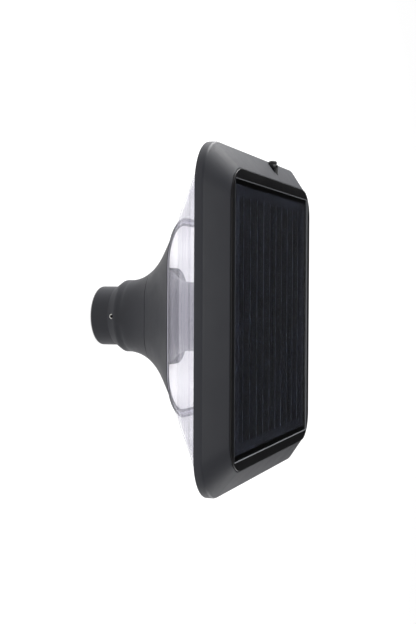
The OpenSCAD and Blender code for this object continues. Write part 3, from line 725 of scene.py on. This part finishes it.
class LIGHT_OT_finishes(PieceOperator):
    """Make every material of the light"""

    bl_idname = "post_light.finishes"
    bl_label = "Make finishes"

    def build(self, s):
        make_materials()


class LIGHT_OT_head(PieceOperator):
    """Build the square head shell with its lip, slope, panel seat and screw bosses"""

    bl_idname = "post_light.head"
    bl_label = "Build head shell"

    def build(self, s):
        h = s.head
        half, lip_z, top_z = half_width("housing"), low("housing"), high("housing")
        slope_z = lip_z + h.lip_height
        slope_h = top_z - slope_z
        top_half = half - h.slope_run
        pocket = half_width("glass") + 0.3 * MM
        opening = pocket - 15 * MM
        ledge_z = low("panel_tape")
        ceiling = ledge_z - h.wall
        lean = math.hypot(1, slope_h / h.slope_run) * h.slope_run / slope_h
        slope_wall = h.wall * lean
        cavity = half - h.slope_run * (ceiling - slope_z) / slope_h - slope_wall
        bend = slope_z - (slope_wall - h.wall) * slope_h / h.slope_run
        skirt, skirt_r = half - h.wall, h.corner_radius - h.wall
        profile = rounded([
            (half, h.corner_radius, lip_z, h.edge),
            (half, h.corner_radius, slope_z, h.edge * 1.6),
            (top_half, h.top_corner_radius, top_z, h.edge * 0.7),
            (pocket, 3 * MM, top_z, 0.3 * MM),
            (pocket, 3 * MM, ledge_z, 0.3 * MM),
            (opening, 12 * MM, ledge_z, 0.5 * MM),
            (opening, 12 * MM, ceiling, 0.5 * MM),
            (cavity, h.corner_radius - 16 * MM, ceiling, 1 * MM),
            (skirt, skirt_r, bend, 1 * MM),
            (skirt, skirt_r, lip_z, 0.5 * MM),
        ], 5)
        bm = bmesh.new()
        loft_into(bm, profile, 20)
        shell = finish_mesh("head_shell", bm, MATERIALS["body"], None)
        # bosses that take the base plate's screws
        plate_top = low("housing_screws") + LARGE_SCREW[2] + 2.6 * MM
        for x, y in head_screws():
            fuse(shell, rod(BOSS, (x, y, plate_top), (0, 0, 1), ceiling - plate_top + 1 * MM))
            cut(shell, rod(PILOT, (x, y, plate_top - 1 * MM), (0, 0, 1), ceiling - plate_top))
        # seat and hole for the button's bush
        lo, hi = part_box("switch_bush")
        middle = (lo + hi) / 2
        bush_r = (hi.z - lo.z) / 2
        nut_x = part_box("switch_seal")[0].x
        cut(shell, rod(bush_r + 0.3 * MM, (-half - 2 * MM, middle.y, middle.z), (1, 0, 0), 40 * MM, 48))
        cut(shell, rod(bush_r + 3 * MM, (nut_x, middle.y, middle.z), (1, 0, 0), 13 * MM, 48))
        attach(shell, "lamp")
        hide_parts("housing")


class LIGHT_OT_panel(PieceOperator):
    """Build the frame, cover glass, cells, ribbons and seals of the solar panel"""

    bl_idname = "post_light.panel"
    bl_label = "Build solar panel"

    def build(self, s):
        p = s.panel
        outer, z0, z1 = half_width("bezel"), low("bezel"), high("bezel")
        bm = bmesh.new()
        corner = s.head.top_corner_radius - 1 * MM
        loft_into(bm, rounded([
            (outer, corner, z0, 0.1 * MM), (outer, corner, z1, 0.5 * MM),
            (p.opening, 2.3 * MM, z1, 0.45 * MM), (p.opening, 2.3 * MM, z0, 0.1 * MM),
        ], 4), 20)
        bezel = finish_mesh("panel_frame", bm, MATERIALS["trim"], "lamp")
        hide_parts("bezel")

        half, g0, g1 = half_width("glass"), low("glass"), high("glass")
        bm = bmesh.new()
        edge = 0.5 * MM
        rows = [(half - edge, 2 * MM, g0), (half, 2.4 * MM, g0 + edge),
                (half, 2.4 * MM, g1 - edge), (half - edge, 2 * MM, g1)]
        rings = [[bm.verts.new((x, y, z)) for x, y in square_points(w, r, 6)] for w, r, z in rows]
        for a, b in zip(rings, rings[1:]):
            for j in range(len(a)):
                k = (j + 1) % len(a)
                bm.faces.new((a[j], a[k], b[k], b[j]))
        bm.faces.new(rings[0][::-1])
        bm.faces.new(rings[-1])
        glass = finish_mesh("cover_glass", bm, MATERIALS["glass"], "lamp")
        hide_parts("glass")

        # bead of sealant between the frame's edge and the glass; its light grey is a painted highlight along
        # the glass edge
        bead = 0.45 * MM
        bm = bmesh.new()
        rim = z1 + 0.05 * MM
        loft_into(bm, [(p.opening, 2.3 * MM, g1), (p.opening, 2.3 * MM, rim),
                       (p.opening - bead * 0.6, 1.9 * MM, rim),
                       (p.opening - bead, 1.7 * MM, rim - bead * 0.4),
                       (p.opening - bead, 1.7 * MM, g1)], 6)
        finish_mesh("glass_sealant", bm, MATERIALS["sealant"], "lamp", angle=math.radians(80))

        lo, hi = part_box("solar_cells")
        pitch_x = (hi.x - lo.x + p.cell_gap) / p.columns
        pitch_y = (hi.y - lo.y + p.cell_gap) / 2
        wide, deep, thick = pitch_x - p.cell_gap, pitch_y - p.cell_gap, hi.z - lo.z
        bm = bmesh.new()
        chop = 1.2 * MM
        outline = [(wide / 2 - chop, -deep / 2), (wide / 2, -deep / 2 + chop),
                   (wide / 2, deep / 2 - chop), (wide / 2 - chop, deep / 2),
                   (-wide / 2 + chop, deep / 2), (-wide / 2, deep / 2 - chop),
                   (-wide / 2, -deep / 2 + chop), (-wide / 2 + chop, -deep / 2)]
        rows = [[bm.verts.new((x, y, z)) for x, y in outline] for z in (lo.z, hi.z)]
        bm.faces.new(rows[0][::-1])
        bm.faces.new(rows[1])
        for j in range(8):
            k = (j + 1) % 8
            bm.faces.new((rows[0][j], rows[0][k], rows[1][k], rows[1][j]))
        template = finish_mesh("cell_template", bm, MATERIALS["silicon"], None)
        base = bpy.data.meshes.new("cells_base")
        cells = run_tree("cell_strips", base, grid_tree(MATERIALS["silicon"]),
                         {"Template": template, "Columns": p.columns, "Rows": 2,
                          "Width": pitch_x * (p.columns - 1), "Depth": pitch_y}, template, "lamp")
        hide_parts("solar_cells")

        # flat ribbon with a solder swelling over every cell's edge
        lo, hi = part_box("cell_ribbons")
        row_pitch = 2 * pitch_y / p.ribbons
        wide_half = 0.5 * MM
        bm = bmesh.new()
        z0, z1 = lo.z, hi.z
        xs = []
        for i in range(p.columns):
            x = lo.x + pitch_x * i
            xs += [(x, 0.85), (x + 1.5 * MM, 1.0), (x + pitch_x - 1.5 * MM, 1.0)]
        xs.append((hi.x, 0.85))
        rows = [[bm.verts.new((x, -wide_half * f, z0)), bm.verts.new((x, wide_half * f, z0)),
                 bm.verts.new((x, wide_half * f, z1)), bm.verts.new((x, -wide_half * f, z1))]
                for x, f in xs]
        for a, b in zip(rows, rows[1:]):
            for j in range(4):
                k = (j + 1) % 4
                bm.faces.new((a[j], a[k], b[k], b[j]))
        bm.faces.new(rows[0][::-1])
        bm.faces.new(rows[-1])
        template = finish_mesh("ribbon_template", bm, MATERIALS["ribbon"], None)
        base = bpy.data.meshes.new("ribbons_base")
        ribbons = run_tree("cell_ribbon_lines", base, grid_tree(MATERIALS["ribbon"]),
                           {"Template": template, "Columns": 1, "Rows": p.ribbons,
                            "Width": 0.0, "Depth": row_pitch * (p.ribbons - 1)}, template, "lamp")
        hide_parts("cell_ribbons")


class LIGHT_OT_window(PieceOperator):
    """Build the frosted ribbed window and its two gate marks"""

    bl_idname = "post_light.window"
    bl_label = "Build window"

    def build(self, s):
        w = s.window
        lo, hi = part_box("diffuser")
        top_half, z0, z1 = hi.x, lo.z, hi.z
        lip_z = low("housing")
        foot = half_width("lower_gasket")
        slope = (top_half - foot) / (lip_z - z0)
        wall = w.wall * math.sqrt(1 + slope * slope)

        def ring(z, inset=0.0):
            t = (z - z0) / (lip_z - z0)
            radius = w.foot_corner_radius + (w.corner_radius - w.foot_corner_radius) * t
            return foot + slope * (z - z0) - inset, radius - inset, z

        # bands of three ribs at two heights, and faint single lines between them
        tall = lip_z - z0
        ribs = [(z0 + tall * t + w.rib_pitch * i, w.rib_height) for t in (0.383, 0.76) for i in (-1, 0, 1)]
        ribs += [(z0 + tall * t, w.rib_height * 0.35) for t in (0.07, 0.52, 0.6, 0.68, 0.9, 0.95)]
        rows = [ring(z0)]
        step = 0.3 * w.rib_pitch
        for z, rise in sorted(ribs):
            crest = step * 0.35
            rows += [ring(z - step), ring(z - crest, -rise), ring(z + crest, -rise), ring(z + step)]
        inner_top = z1 - 4 * MM
        rows += [ring(lip_z), (top_half, w.corner_radius, z1),
                 (ring(inner_top, wall)[0], w.corner_radius - wall, z1)]
        rows += [ring(z, wall) for z in levels(inner_top, z0, 8)]
        bm = bmesh.new()
        loft_into(bm, rows, 20)
        window = finish_mesh("clear_window", bm, MATERIALS["window"], "lamp")
        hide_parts("diffuser")

        # the two moulding gates on the front wall, trimmed to small dark pips
        bm = bmesh.new()
        sunk = -0.1 * MM
        lathe_into(bm, [(0, 0.15 * MM), (0.3 * MM, 0.1 * MM), (0.45 * MM, sunk), (0, sunk)], 16)
        template = finish_mesh("gate_template", bm, MATERIALS["trim"], None)
        places = [((0, -ring(z)[0], z), (math.pi / 2, 0, 0)) for z in (z0 + tall * 0.42, z0 + tall * 0.83)]
        marks = place_on("window_gates", places, template, MATERIALS["trim"], "lamp")


class LIGHT_OT_bell(PieceOperator):
    """Build the flared bell and its white liner"""

    bl_idname = "post_light.bell"
    bl_label = "Build bell and liner"

    def build(self, s):
        b, f = s.bell, Flare()
        z0, z1 = low("bell"), high("bell")
        rebate = high("lower_gasket") - 0.6 * MM
        lip = f.rim_half - 1.8 * MM
        lip_r = b.rim_corner_radius - 1.8 * MM
        floor_z = z0 + 3.4 * MM
        seam = list(f.ring(z0))
        seam[0] -= b.seam
        rows = [tuple(seam), f.ring(z0 + b.seam)]
        rows += [f.ring(z) for z in levels(z0 + 2 * MM, z1 - 0.7 * MM, 26)]
        rim = f.ring(z1)
        rows += [(rim[0] - 0.15 * MM, rim[1], z1 - 0.2 * MM), (rim[0] - 0.6 * MM, rim[1] - 0.6 * MM, z1)]
        rows += [(lip + 0.3 * MM, lip_r, z1), (lip, lip_r, z1 - 0.3 * MM), (lip, lip_r, rebate)]
        rows += [f.ring(z, b.wall) for z in levels(rebate, floor_z, 20)]
        rows += [(CABLE_WAY, CABLE_WAY, floor_z), (CABLE_WAY, CABLE_WAY, z0)]
        bm = bmesh.new()
        loft_into(bm, rows, 18)
        bell = finish_mesh("bell_skin", bm, MATERIALS["body"], None)
        for x, y in ring_places(4, JOINT_RING, 45):
            cut(bell, rod(SCREW_WAY, (x, y, z0 - 1 * MM), (0, 0, 1), 6 * MM))
        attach(bell, "lamp")
        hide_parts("bell")

        l0, l1 = low("bowl_reflector"), high("bowl_reflector")
        gap = b.wall + 0.3 * MM
        rows = [f.ring(z, gap) for z in levels(l0, l1, 20)]
        rows += [f.ring(z, gap + 1 * MM) for z in levels(l1, l0, 20)]
        bm = bmesh.new()
        loft_into(bm, rows, 18)
        liner = finish_mesh("bowl_liner", bm, MATERIALS["liner"], "lamp")
        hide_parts("bowl_reflector")


class LIGHT_OT_socket(PieceOperator):
    """Build the pole socket: collar, shoulder, neck, webs and screw holes"""

    bl_idname = "post_light.socket"
    bl_label = "Build pole socket"

    def build(self, s):
        b, f = s.bell, Flare()
        joint = high("pole_socket")
        bore, collar = frame["record"]["mounts"][0]["dims"]["r_mm"] * MM, 34.4 * MM
        stop, depth = 27 * MM, frame["record"]["mounts"][0]["dims"]["length_mm"] * MM
        plate = joint - 4 * MM
        seam = list(f.ring(joint))
        seam[0] -= b.seam
        sleeve = collar - 1.4 * MM
        # outside from the mouth up to the seam, then down the inside of the skin and up the sleeve
        outer = [(r, r, z) for r, z in arc(collar - 2 * MM, 2 * MM, 2 * MM, -90, 0, 5)]
        root = 1.2 * MM
        outer += [(r, r, z) for r, z in arc(collar + root, b.collar_height - 0.7 * MM, root, 180, 145, 3)]
        top = b.shoulder
        lean = math.atan2(b.neck_radius - collar, top - b.collar_height)
        ease = 1.6 * MM
        outer += [(b.neck_radius - ease * math.sin(lean) * 1.1, b.neck_radius, top - ease * math.cos(lean)),
                  (b.neck_radius - ease * 0.28, b.neck_radius, top - ease * 0.2),
                  (b.neck_radius, b.neck_radius, top + ease * 0.6)]
        outer = [(h, min(r, h), z) for h, r, z in outer]
        outer += [f.ring(z) for z in levels(top + 3 * MM, joint - b.seam, 18)]
        rows = outer + [tuple(seam)]
        rows += [f.ring(z, b.wall) for z in levels(joint, top + 5 * MM, 14)]
        rows += [(b.neck_radius - b.wall, b.neck_radius, top + 3 * MM), (collar, collar, top + 3 * MM),
                 (collar, collar, joint), (CABLE_WAY, CABLE_WAY, joint), (CABLE_WAY, CABLE_WAY, plate),
                 (stop, stop, plate), (stop, stop, depth), (bore, bore, depth),
                 (bore, bore, 0.3 * MM), (bore + 0.3 * MM, bore + 0.3 * MM, 0)]
        rows = [(h, min(r, h), z) for h, r, z in rows]
        bm = bmesh.new()
        loft_into(bm, rows, 18)
        socket = finish_mesh("socket_casting", bm, MATERIALS["body"], None)
        for turn in range(4):
            socket_web(socket, f, b, collar, turn * math.pi / 2, top + 1 * MM, joint - 1 * MM)
        mount = frame["record"]["mounts"][1]
        hole_r = mount["dims"]["r_mm"] * MM + INSERT_WALL + INSERT_PLAY
        for x, y in ring_places(3, 1.0, -90):
            start = (x * (bore - 1 * MM), y * (bore - 1 * MM), mount["pos_m"][2])
            cut(socket, rod(hole_r, start, (x, y, 0), 20 * MM, 40))
        for x, y in ring_places(4, JOINT_RING, 45):
            cut(socket, rod(SCREW_WAY, (x, y, plate - 1 * MM), (0, 0, 1), 6 * MM))
        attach(socket, "lamp")
        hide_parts("pole_socket")


def socket_web(socket, f, b, collar, angle, z0, z1):
    """One radial web between the sleeve and the skin of the socket."""
    reach = b.wall * 0.6
    outline = [(collar - 1 * MM, z0)]
    outline += [(f.half(z) - reach * math.sqrt(1 + f.slope(z) ** 2), z) for z in levels(z0, z1, 8)]
    outline += [(collar - 1 * MM, z1)]
    bm = bmesh.new()
    half = 1.2 * MM
    sides = [[bm.verts.new((x, y, z)) for x, z in outline] for y in (-half, half)]
    bm.faces.new(sides[0])
    bm.faces.new(sides[1][::-1])
    for j in range(len(outline)):
        k = (j + 1) % len(outline)
        bm.faces.new((sides[0][j], sides[1][j], sides[1][k], sides[0][k]))
    bmesh.ops.rotate(bm, verts=bm.verts, cent=(0, 0, 0), matrix=Matrix.Rotation(angle, 3, "Z"))
    fuse(socket, finish_mesh("tool", bm, None, None))


class LIGHT_OT_inserts(PieceOperator):
    """Place the threaded inserts in the socket's screw holes"""

    bl_idname = "post_light.inserts"
    bl_label = "Place threaded inserts"

    def build(self, s):
        mount = frame["record"]["mounts"][1]
        core = mount["dims"]["r_mm"] * MM
        outer = core + INSERT_WALL
        size = mount["dims"]["length_mm"] * MM
        middle = math.hypot(mount["pos_m"][0], mount["pos_m"][1])
        bevel = 0.25 * MM
        profile = [(core + bevel, size), (outer - bevel, size), (outer, size - bevel), (outer, bevel),
                   (outer - bevel, 0), (core + bevel, 0)]
        pitch = 0.8 * MM
        for i in range(int(size / pitch)):
            z = bevel + pitch * i
            profile += [(core, z + 0.1 * MM), (core + 0.3 * MM, z + 0.4 * MM), (core, z + 0.7 * MM)]
        bm = bmesh.new()
        lathe_into(bm, profile, 40)
        template = finish_mesh("insert_template", bm, MATERIALS["steel"], None, angle=math.radians(25))
        places = []
        for x, y in ring_places(3, 1.0, -90):
            start = middle - size / 2
            turn = Vector((x, y, 0)).to_track_quat("Z", "Y").to_euler()
            places.append(((x * start, y * start, mount["pos_m"][2]), tuple(turn)))
        made = place_on("insert_set", places, template, MATERIALS["steel"], "lamp")
        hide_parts("set_inserts")


class LIGHT_OT_column(PieceOperator):
    """Build the battery column with its flared foot and screw bosses"""

    bl_idname = "post_light.column"
    bl_label = "Build column"

    def build(self, s):
        lo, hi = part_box("column")
        z0, z1 = lo.z, hi.z
        radius, fillet = 39.5 * MM, 15 * MM
        inside = radius - 2.5 * MM
        foot, foot_z = radius + fillet, z0 + 5.6 * MM
        rise = 1.8 * fillet
        curve = [(radius + fillet * (1 - t) ** 2, foot_z - 1.6 * MM + rise * t)
                 for t in np.linspace(0, 1, 21)]
        profile = ([(CABLE_WAY, z0), (foot - 5 * MM, z0), (foot - 5 * MM, foot_z - 3 * MM),
                    (foot, foot_z - 2.2 * MM)] + curve
                   + [(radius, z1 - 6.5 * MM), (radius - 0.35 * MM, z1 - 6.2 * MM),
                      (radius - 0.35 * MM, z1 - 5.6 * MM), (radius, z1 - 5.3 * MM),
                      (radius, z1), (inside, z1), (inside, z0 + 3 * MM), (CABLE_WAY, z0 + 3 * MM)])
        bm = bmesh.new()
        lathe_into(bm, profile, 96)
        column = finish_mesh("battery_column", bm, MATERIALS["column"], None)
        for x, y in ring_places(4, JOINT_RING, 45):
            fuse(column, rod(BOSS, (x, y, z0 + 1 * MM), (0, 0, 1), 10 * MM))
            cut(column, rod(PILOT, (x, y, z0 - 1 * MM), (0, 0, 1), 13 * MM))
        for x, y in ring_places(4, inside - 3.8 * MM, 45):
            fuse(column, rod(BOSS, (x, y, z1 - 16 * MM), (0, 0, 1), 16 * MM))
            cut(column, rod(PILOT, (x, y, z1 - 17 * MM), (0, 0, 1), 18 * MM))
        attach(column, "lamp")
        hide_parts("column")


class LIGHT_OT_light_ring(PieceOperator):
    """Place the light-emitting packages on the ring board"""

    bl_idname = "post_light.light_ring"
    bl_label = "Place packages"

    def build(self, s):
        count, ring, size = s.light.led_count, s.light.led_ring, s.light.led_size
        z1, z0 = high("leds"), low("leds")
        places = [((x, y, z1), (math.pi, 0, -math.radians(360 * i / count)))
                  for i, (x, y) in enumerate(ring_places(count, ring))]
        bm = bmesh.new()
        thick = z1 - z0
        loft_into(bm, [
            (size / 2, 0.2 * MM, 0), (size / 2, 0.2 * MM, thick * 0.8),
            (size / 2 - 0.15 * MM, 0.2 * MM, thick),
            (size * 0.4, 0.5 * MM, thick), (size * 0.36, 0.6 * MM, thick * 0.55),
            (size * 0.1, 0.1 * MM, thick * 0.55), (size * 0.1, 0.1 * MM, 0),
        ], 3)
        template = finish_mesh("package_template", bm, MATERIALS["ceramic"], None)
        bodies = place_on("light_packages", places, template, MATERIALS["ceramic"], "lamp")
        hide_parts("leds")
        bm = bmesh.new()
        lathe_into(bm, [(0, thick * 0.5), (size * 0.34, thick * 0.5), (size * 0.34, thick * 0.8),
                        (size * 0.2, thick * 0.92), (0, thick * 0.95)], 16)
        template = finish_mesh("phosphor_template", bm, MATERIALS["phosphor"], None)
        dots = place_on("phosphor_dots", places, template, MATERIALS["phosphor"], "lamp")


class LIGHT_OT_screws(PieceOperator):
    """Place every group of screws"""

    bl_idname = "post_light.screws"
    bl_label = "Place screws"

    def build(self, s):
        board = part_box("board_screws")
        mid = (board[0] + board[1]) / 2
        span = (board[1] - board[0]) / 2
        cap = SMALL_SCREW[1]
        corner = [(mid.x + x * (span.x - cap), mid.y + y * (span.y - cap))
                  for x in (-1, 1) for y in (-1, 1)]
        # name, places, seat height, whether it points down, shank length, size of screw
        groups = (
            ("housing_screws", head_screws(), low("housing_screws") + LARGE_SCREW[2], True,
             14.1 * MM, LARGE_SCREW),
            ("column_screws", ring_places(4, 33.2 * MM, 45), high("column_screws") - LARGE_SCREW[2], False,
             16.6 * MM, LARGE_SCREW),
            ("joint_screws", ring_places(4, JOINT_RING, 45), low("joint_screws") + LARGE_SCREW[2], True,
             18.0 * MM, LARGE_SCREW),
            ("led_screws", ring_places(6, 67 * MM, 30), low("led_screws") + SMALL_SCREW[2], True,
             3.8 * MM, SMALL_SCREW),
            ("board_screws", corner, high("board_screws") - SMALL_SCREW[2], False, 6.0 * MM, SMALL_SCREW),
        )
        for name, places, seat, down, size, (shank, cap, cap_height) in groups:
            template = screw_template(shank, size, cap, cap_height)
            flip = math.pi if down else 0.0
            turned = [((x, y, seat), (flip, 0, 0.6 * i)) for i, (x, y) in enumerate(places)]
            made = place_on(name + "_set", turned, template, MATERIALS["steel"], "lamp")
            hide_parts(name)


class LIGHT_OT_battery(PieceOperator):
    """Place the battery cells in the column"""

    bl_idname = "post_light.battery"
    bl_label = "Place battery cells"

    def build(self, s):
        lo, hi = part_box("battery_cells")
        radius = 13.1 * MM
        size = hi.z - lo.z
        bm = bmesh.new()
        body = [(0, 0), (radius * 0.72, 0), (radius * 0.74, 0.3 * MM), (radius - 0.9 * MM, 0.3 * MM)]
        body += arc(radius - 0.6 * MM, 0.9 * MM, 0.6 * MM, -90, 0, 4)
        top = size - 1.6 * MM
        body += arc(radius - 0.6 * MM, top - 0.6 * MM, 0.6 * MM, 0, 90, 4)
        recess = top - 0.8 * MM
        button = 6 * MM
        body += [(radius * 0.7, top), (radius * 0.66, recess), (button, recess),
                 (button, size - 0.3 * MM), (button - 0.3 * MM, size), (0, size)]
        lathe_into(bm, body, 48)
        template = finish_mesh("battery_template", bm, MATERIALS["sleeve"], None)
        ring = 26.8 * MM / math.sqrt(3)
        places = [((x, y, lo.z), (0, 0, 0)) for x, y in ring_places(3, ring, 90)]
        cells = place_on("battery_cell_set", places, template, MATERIALS["sleeve"], "lamp")
        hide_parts("battery_cells")


class LIGHT_OT_button(PieceOperator):
    """Build the push button and its bush"""

    bl_idname = "post_light.button"
    bl_label = "Build push button"

    def build(self, s):
        lo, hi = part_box("button_cap")
        start = Vector((lo.x, (lo.y + hi.y) / 2, (lo.z + hi.z) / 2))
        turn = Vector((1, 0, 0)).to_track_quat("Z", "Y").to_matrix()
        radius = (hi.z - lo.z) / 2
        bush_lo, bush_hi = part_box("switch_bush")
        tail = bush_lo.x + 8 * MM - lo.x
        full = hi.x - lo.x
        dish = 0.25 * MM
        profile = [(0, dish), (radius * 0.25, dish * 0.6), (radius * 0.4, 0)]
        profile += arc(radius - 2.4 * MM, 2.4 * MM, 2.4 * MM, -90, 0, 9)
        for i in range(2):
            z = 3.4 * MM + i * 1.1 * MM
            profile += [(radius, z), (radius - 0.3 * MM, z + 0.25 * MM), (radius - 0.3 * MM, z + 0.5 * MM),
                        (radius, z + 0.75 * MM)]
        profile += [(radius, tail), (1.5 * MM, tail), (1.5 * MM, full), (0, full)]
        bm = bmesh.new()
        lathe_into(bm, profile, 56, start, turn)
        cap = finish_mesh("button_boot", bm, MATERIALS["rubber"], "button")
        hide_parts("button_cap")

        outer = (bush_hi.z - bush_lo.z) / 2
        size = bush_hi.x - bush_lo.x
        bore = radius + 0.05 * MM
        profile = [(bore + 0.25 * MM, 0), (outer - 0.35 * MM, 0), (outer, 0.35 * MM), (outer, 3 * MM)]
        z = 3.4 * MM
        while z < size - 1.2 * MM:
            profile += [(outer - 0.28 * MM, z), (outer, z + 0.35 * MM)]
            z += 0.8 * MM
        stem, depth = 1.6 * MM, 11.5 * MM
        profile += [(outer, size), (stem, size), (stem, depth), (bore, depth), (bore, 0.25 * MM)]
        bm = bmesh.new()
        lathe_into(bm, profile, 56, (bush_lo.x, start.y, start.z), turn)
        bush = finish_mesh("button_bush", bm, MATERIALS["trim"], "lamp")
        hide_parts("switch_bush")


class LIGHT_OT_inside(PieceOperator):
    """Give the carried-over CAD pieces their finishes"""

    bl_idname = "post_light.inside"
    bl_label = "Finish inner pieces"

    def build(self, s):
        finishes = {
            "rubber": ("lead_grommet", "edge_seal", "switch_seal"),
            "silicone": ("lower_gasket", "upper_gasket"),
            "liner": ("base_plate",),
            "ring_board": ("led_board",),
            "trim": ("battery_holder", "controller_parts", "junction_box", "switch_body"),
            "steel": ("switch_nut",),
            "nickel": ("battery_tabs",),
            "board": ("controller_board",),
            "wire_red": ("panel_leads",),
            "wire_black": ("battery_leads",),
            "wire_white": ("led_leads",),
            "wire_blue": ("switch_leads",),
            "foam": ("panel_tape",),
            "sheet": ("backsheet",),
        }
        for finish, names in finishes.items():
            for name in names:
                mesh = NODES[name].data
                mesh.materials.clear()
                mesh.materials.append(MATERIALS[finish])


def area_light(name, shape, size, watts):
    lamp = bpy.data.lights.new(name, "AREA")
    lamp.shape, lamp.size, lamp.energy = shape, size, watts
    holder = bpy.data.objects.new(name, lamp)
    bpy.context.scene.collection.objects.link(holder)
    return holder


class LIGHT_OT_stage(PieceOperator):
    """Set the floor, the soft lights and the camera"""

    bl_idname = "post_light.stage"
    bl_label = "Set the stage"

    def build(self, s):
        scene = bpy.context.scene
        scene.view_settings.view_transform = "Standard"
        scene.view_settings.look = "None"
        bm = bmesh.new()
        bmesh.ops.create_grid(bm, x_segments=1, y_segments=1, size=9.0)
        mesh = bpy.data.meshes.new("floor")
        bm.to_mesh(mesh)
        bm.free()
        floor = bpy.data.objects.new("floor", mesh)
        scene.collection.objects.link(floor)
        floor.location.z = CAD_LOW.z - 0.5 * MM
        # back-lit opal sheet: most of its light comes from inside, so cast shadows wash out; its glow is
        # faded out under and just round the collar, a painted contact shadow that also darkens the floor seen
        # in the bore
        material, tree, where = new_material("pale floor")
        away = add(tree, "ShaderNodeVectorMath", {0: where}, operation="LENGTH")
        # painted contact shadow: the glow falls to nothing within 34.5 mm of the axis
        glow = add(tree, "ShaderNodeMapRange",
                   {"Value": away.outputs["Value"], "From Min": 31 * MM, "From Max": 34.5 * MM,
                    "To Min": 0.0, "To Max": 0.97}, interpolation_type="SMOOTHSTEP")
        surface = add(tree, "ShaderNodeBsdfPrincipled",
                      {"Base Color": (*s.colours.floor, 1), "Roughness": 0.9,
                       "Emission Color": (1, 1, 1, 1), "Emission Strength": glow.outputs["Result"]})
        add(tree, "ShaderNodeOutputMaterial", {"Surface": surface.outputs["BSDF"]})
        mesh.materials.append(material)

        world = bpy.data.worlds.new("soft studio")
        scene.world = world
        world.use_nodes = True
        tree = world.node_tree
        tree.nodes.clear()
        # seen directly it is as pale as the floor; as a light it adds only a trace
        seen = add(tree, "ShaderNodeLightPath")
        level = add(tree, "ShaderNodeMapRange",
                    {"Value": seen.outputs["Is Camera Ray"], "To Min": 0.02, "To Max": 1.0})
        sky = add(tree, "ShaderNodeBackground",
                  {"Color": (1, 1, 1, 1), "Strength": level.outputs["Result"]})
        add(tree, "ShaderNodeOutputWorld", {"Surface": sky.outputs["Background"]})

        # name, position, aim, size, watts
        lights = (
            ("overhead", (0.0, -0.8, 1.6), (0, 0, 0.15), 1.0, 17),
            ("left", (-1.4, 0.7, 0.5), (0, 0, 0.18), 1.0, 55),
            ("right", (1.4, 0.7, 0.5), (0, 0, 0.18), 1.0, 18),
            ("front", (0.2, -2.2, 1.0), (0, 0, 0.15), 1.4, 5),
        )
        # the ring of packages at a low level, as one disk that shines down past the column
        ring = area_light("ring glow", "DISK", 2 * s.light.led_ring + 20 * MM, 0.33)
        ring.location = (0, 0, low("leds") - 0.5 * MM)
        ring.visible_camera = False
        for name, place, aim, size, watts in lights:
            holder = area_light(name, "SQUARE", size, watts)
            holder.location = place
            way = Vector(aim) - Vector(place)
            holder.rotation_mode = "QUATERNION"
            holder.rotation_quaternion = way.to_track_quat("-Z", "Y")

        camera = bpy.data.cameras.new("camera")
        holder = bpy.data.objects.new("camera", camera)
        scene.collection.objects.link(holder)
        scene.camera = holder
        camera.sensor_width = CAMERA["sensor"]
        camera.lens = CAMERA["lens"]
        camera.clip_start, camera.clip_end = 0.05, 50.0
        yaw, pitch, roll = CAMERA["turn"]
        ahead = Vector((math.sin(yaw) * math.cos(pitch), math.cos(yaw) * math.cos(pitch), -math.sin(pitch)))
        right = Vector((math.cos(yaw), -math.sin(yaw), 0))
        up = right.cross(ahead)
        side = right * math.cos(roll) + up * math.sin(roll)
        rise = -right * math.sin(roll) + up * math.cos(roll)
        # the lamp's up runs to the right of the picture
        axes = Matrix((rise, -side, -ahead)).transposed()
        holder.matrix_world = Matrix.Translation(CAMERA["place"]) @ axes.to_4x4()


# camera place in metres, turn (yaw, pitch, roll) in radians, lens and sensor in millimetres
CAMERA = {"place": (-0.030326, -1.159128, 0.546697), "turn": (0.021439, 0.343360, 0.011960),
          "lens": 62.040, "sensor": 36.0}

STEPS = (LIGHT_OT_finishes, LIGHT_OT_head, LIGHT_OT_panel, LIGHT_OT_window, LIGHT_OT_bell,
         LIGHT_OT_socket, LIGHT_OT_inserts, LIGHT_OT_column, LIGHT_OT_light_ring, LIGHT_OT_screws,
         LIGHT_OT_battery, LIGHT_OT_button, LIGHT_OT_inside, LIGHT_OT_stage)


class LIGHT_PT_panel(bpy.types.Panel):
    """Lists the settings and the building steps"""

    bl_idname = "LIGHT_PT_panel"
    bl_label = "Post Light"
    bl_space_type = "VIEW_3D"
    bl_region_type = "UI"
    bl_category = "Post Light"

    def draw(self, context):
        for group in (settings().head, settings().window, settings().bell, settings().panel,
                      settings().light, settings().colours):
            box = self.layout.box()
            for key in group.__annotations__:
                box.prop(group, key)
        for step in STEPS:
            self.layout.operator(step.bl_idname)


GROUPS = (HeadSettings, WindowSettings, BellSettings, PanelSettings, LightSettings, ColourSettings,
          PostLightSettings)
CLASSES = GROUPS + STEPS + (LIGHT_PT_panel,)


def register():
    for one in CLASSES:
        bpy.utils.register_class(one)
    bpy.types.Scene.post_light = PointerProperty(type=PostLightSettings)


def unregister():
    del bpy.types.Scene.post_light
    for one in reversed(CLASSES):
        bpy.utils.unregister_class(one)


def main():
    register()
    for step in STEPS:
        group, name = step.bl_idname.split(".")
        getattr(getattr(bpy.ops, group), name)()


if __name__ == "__main__":
    main()
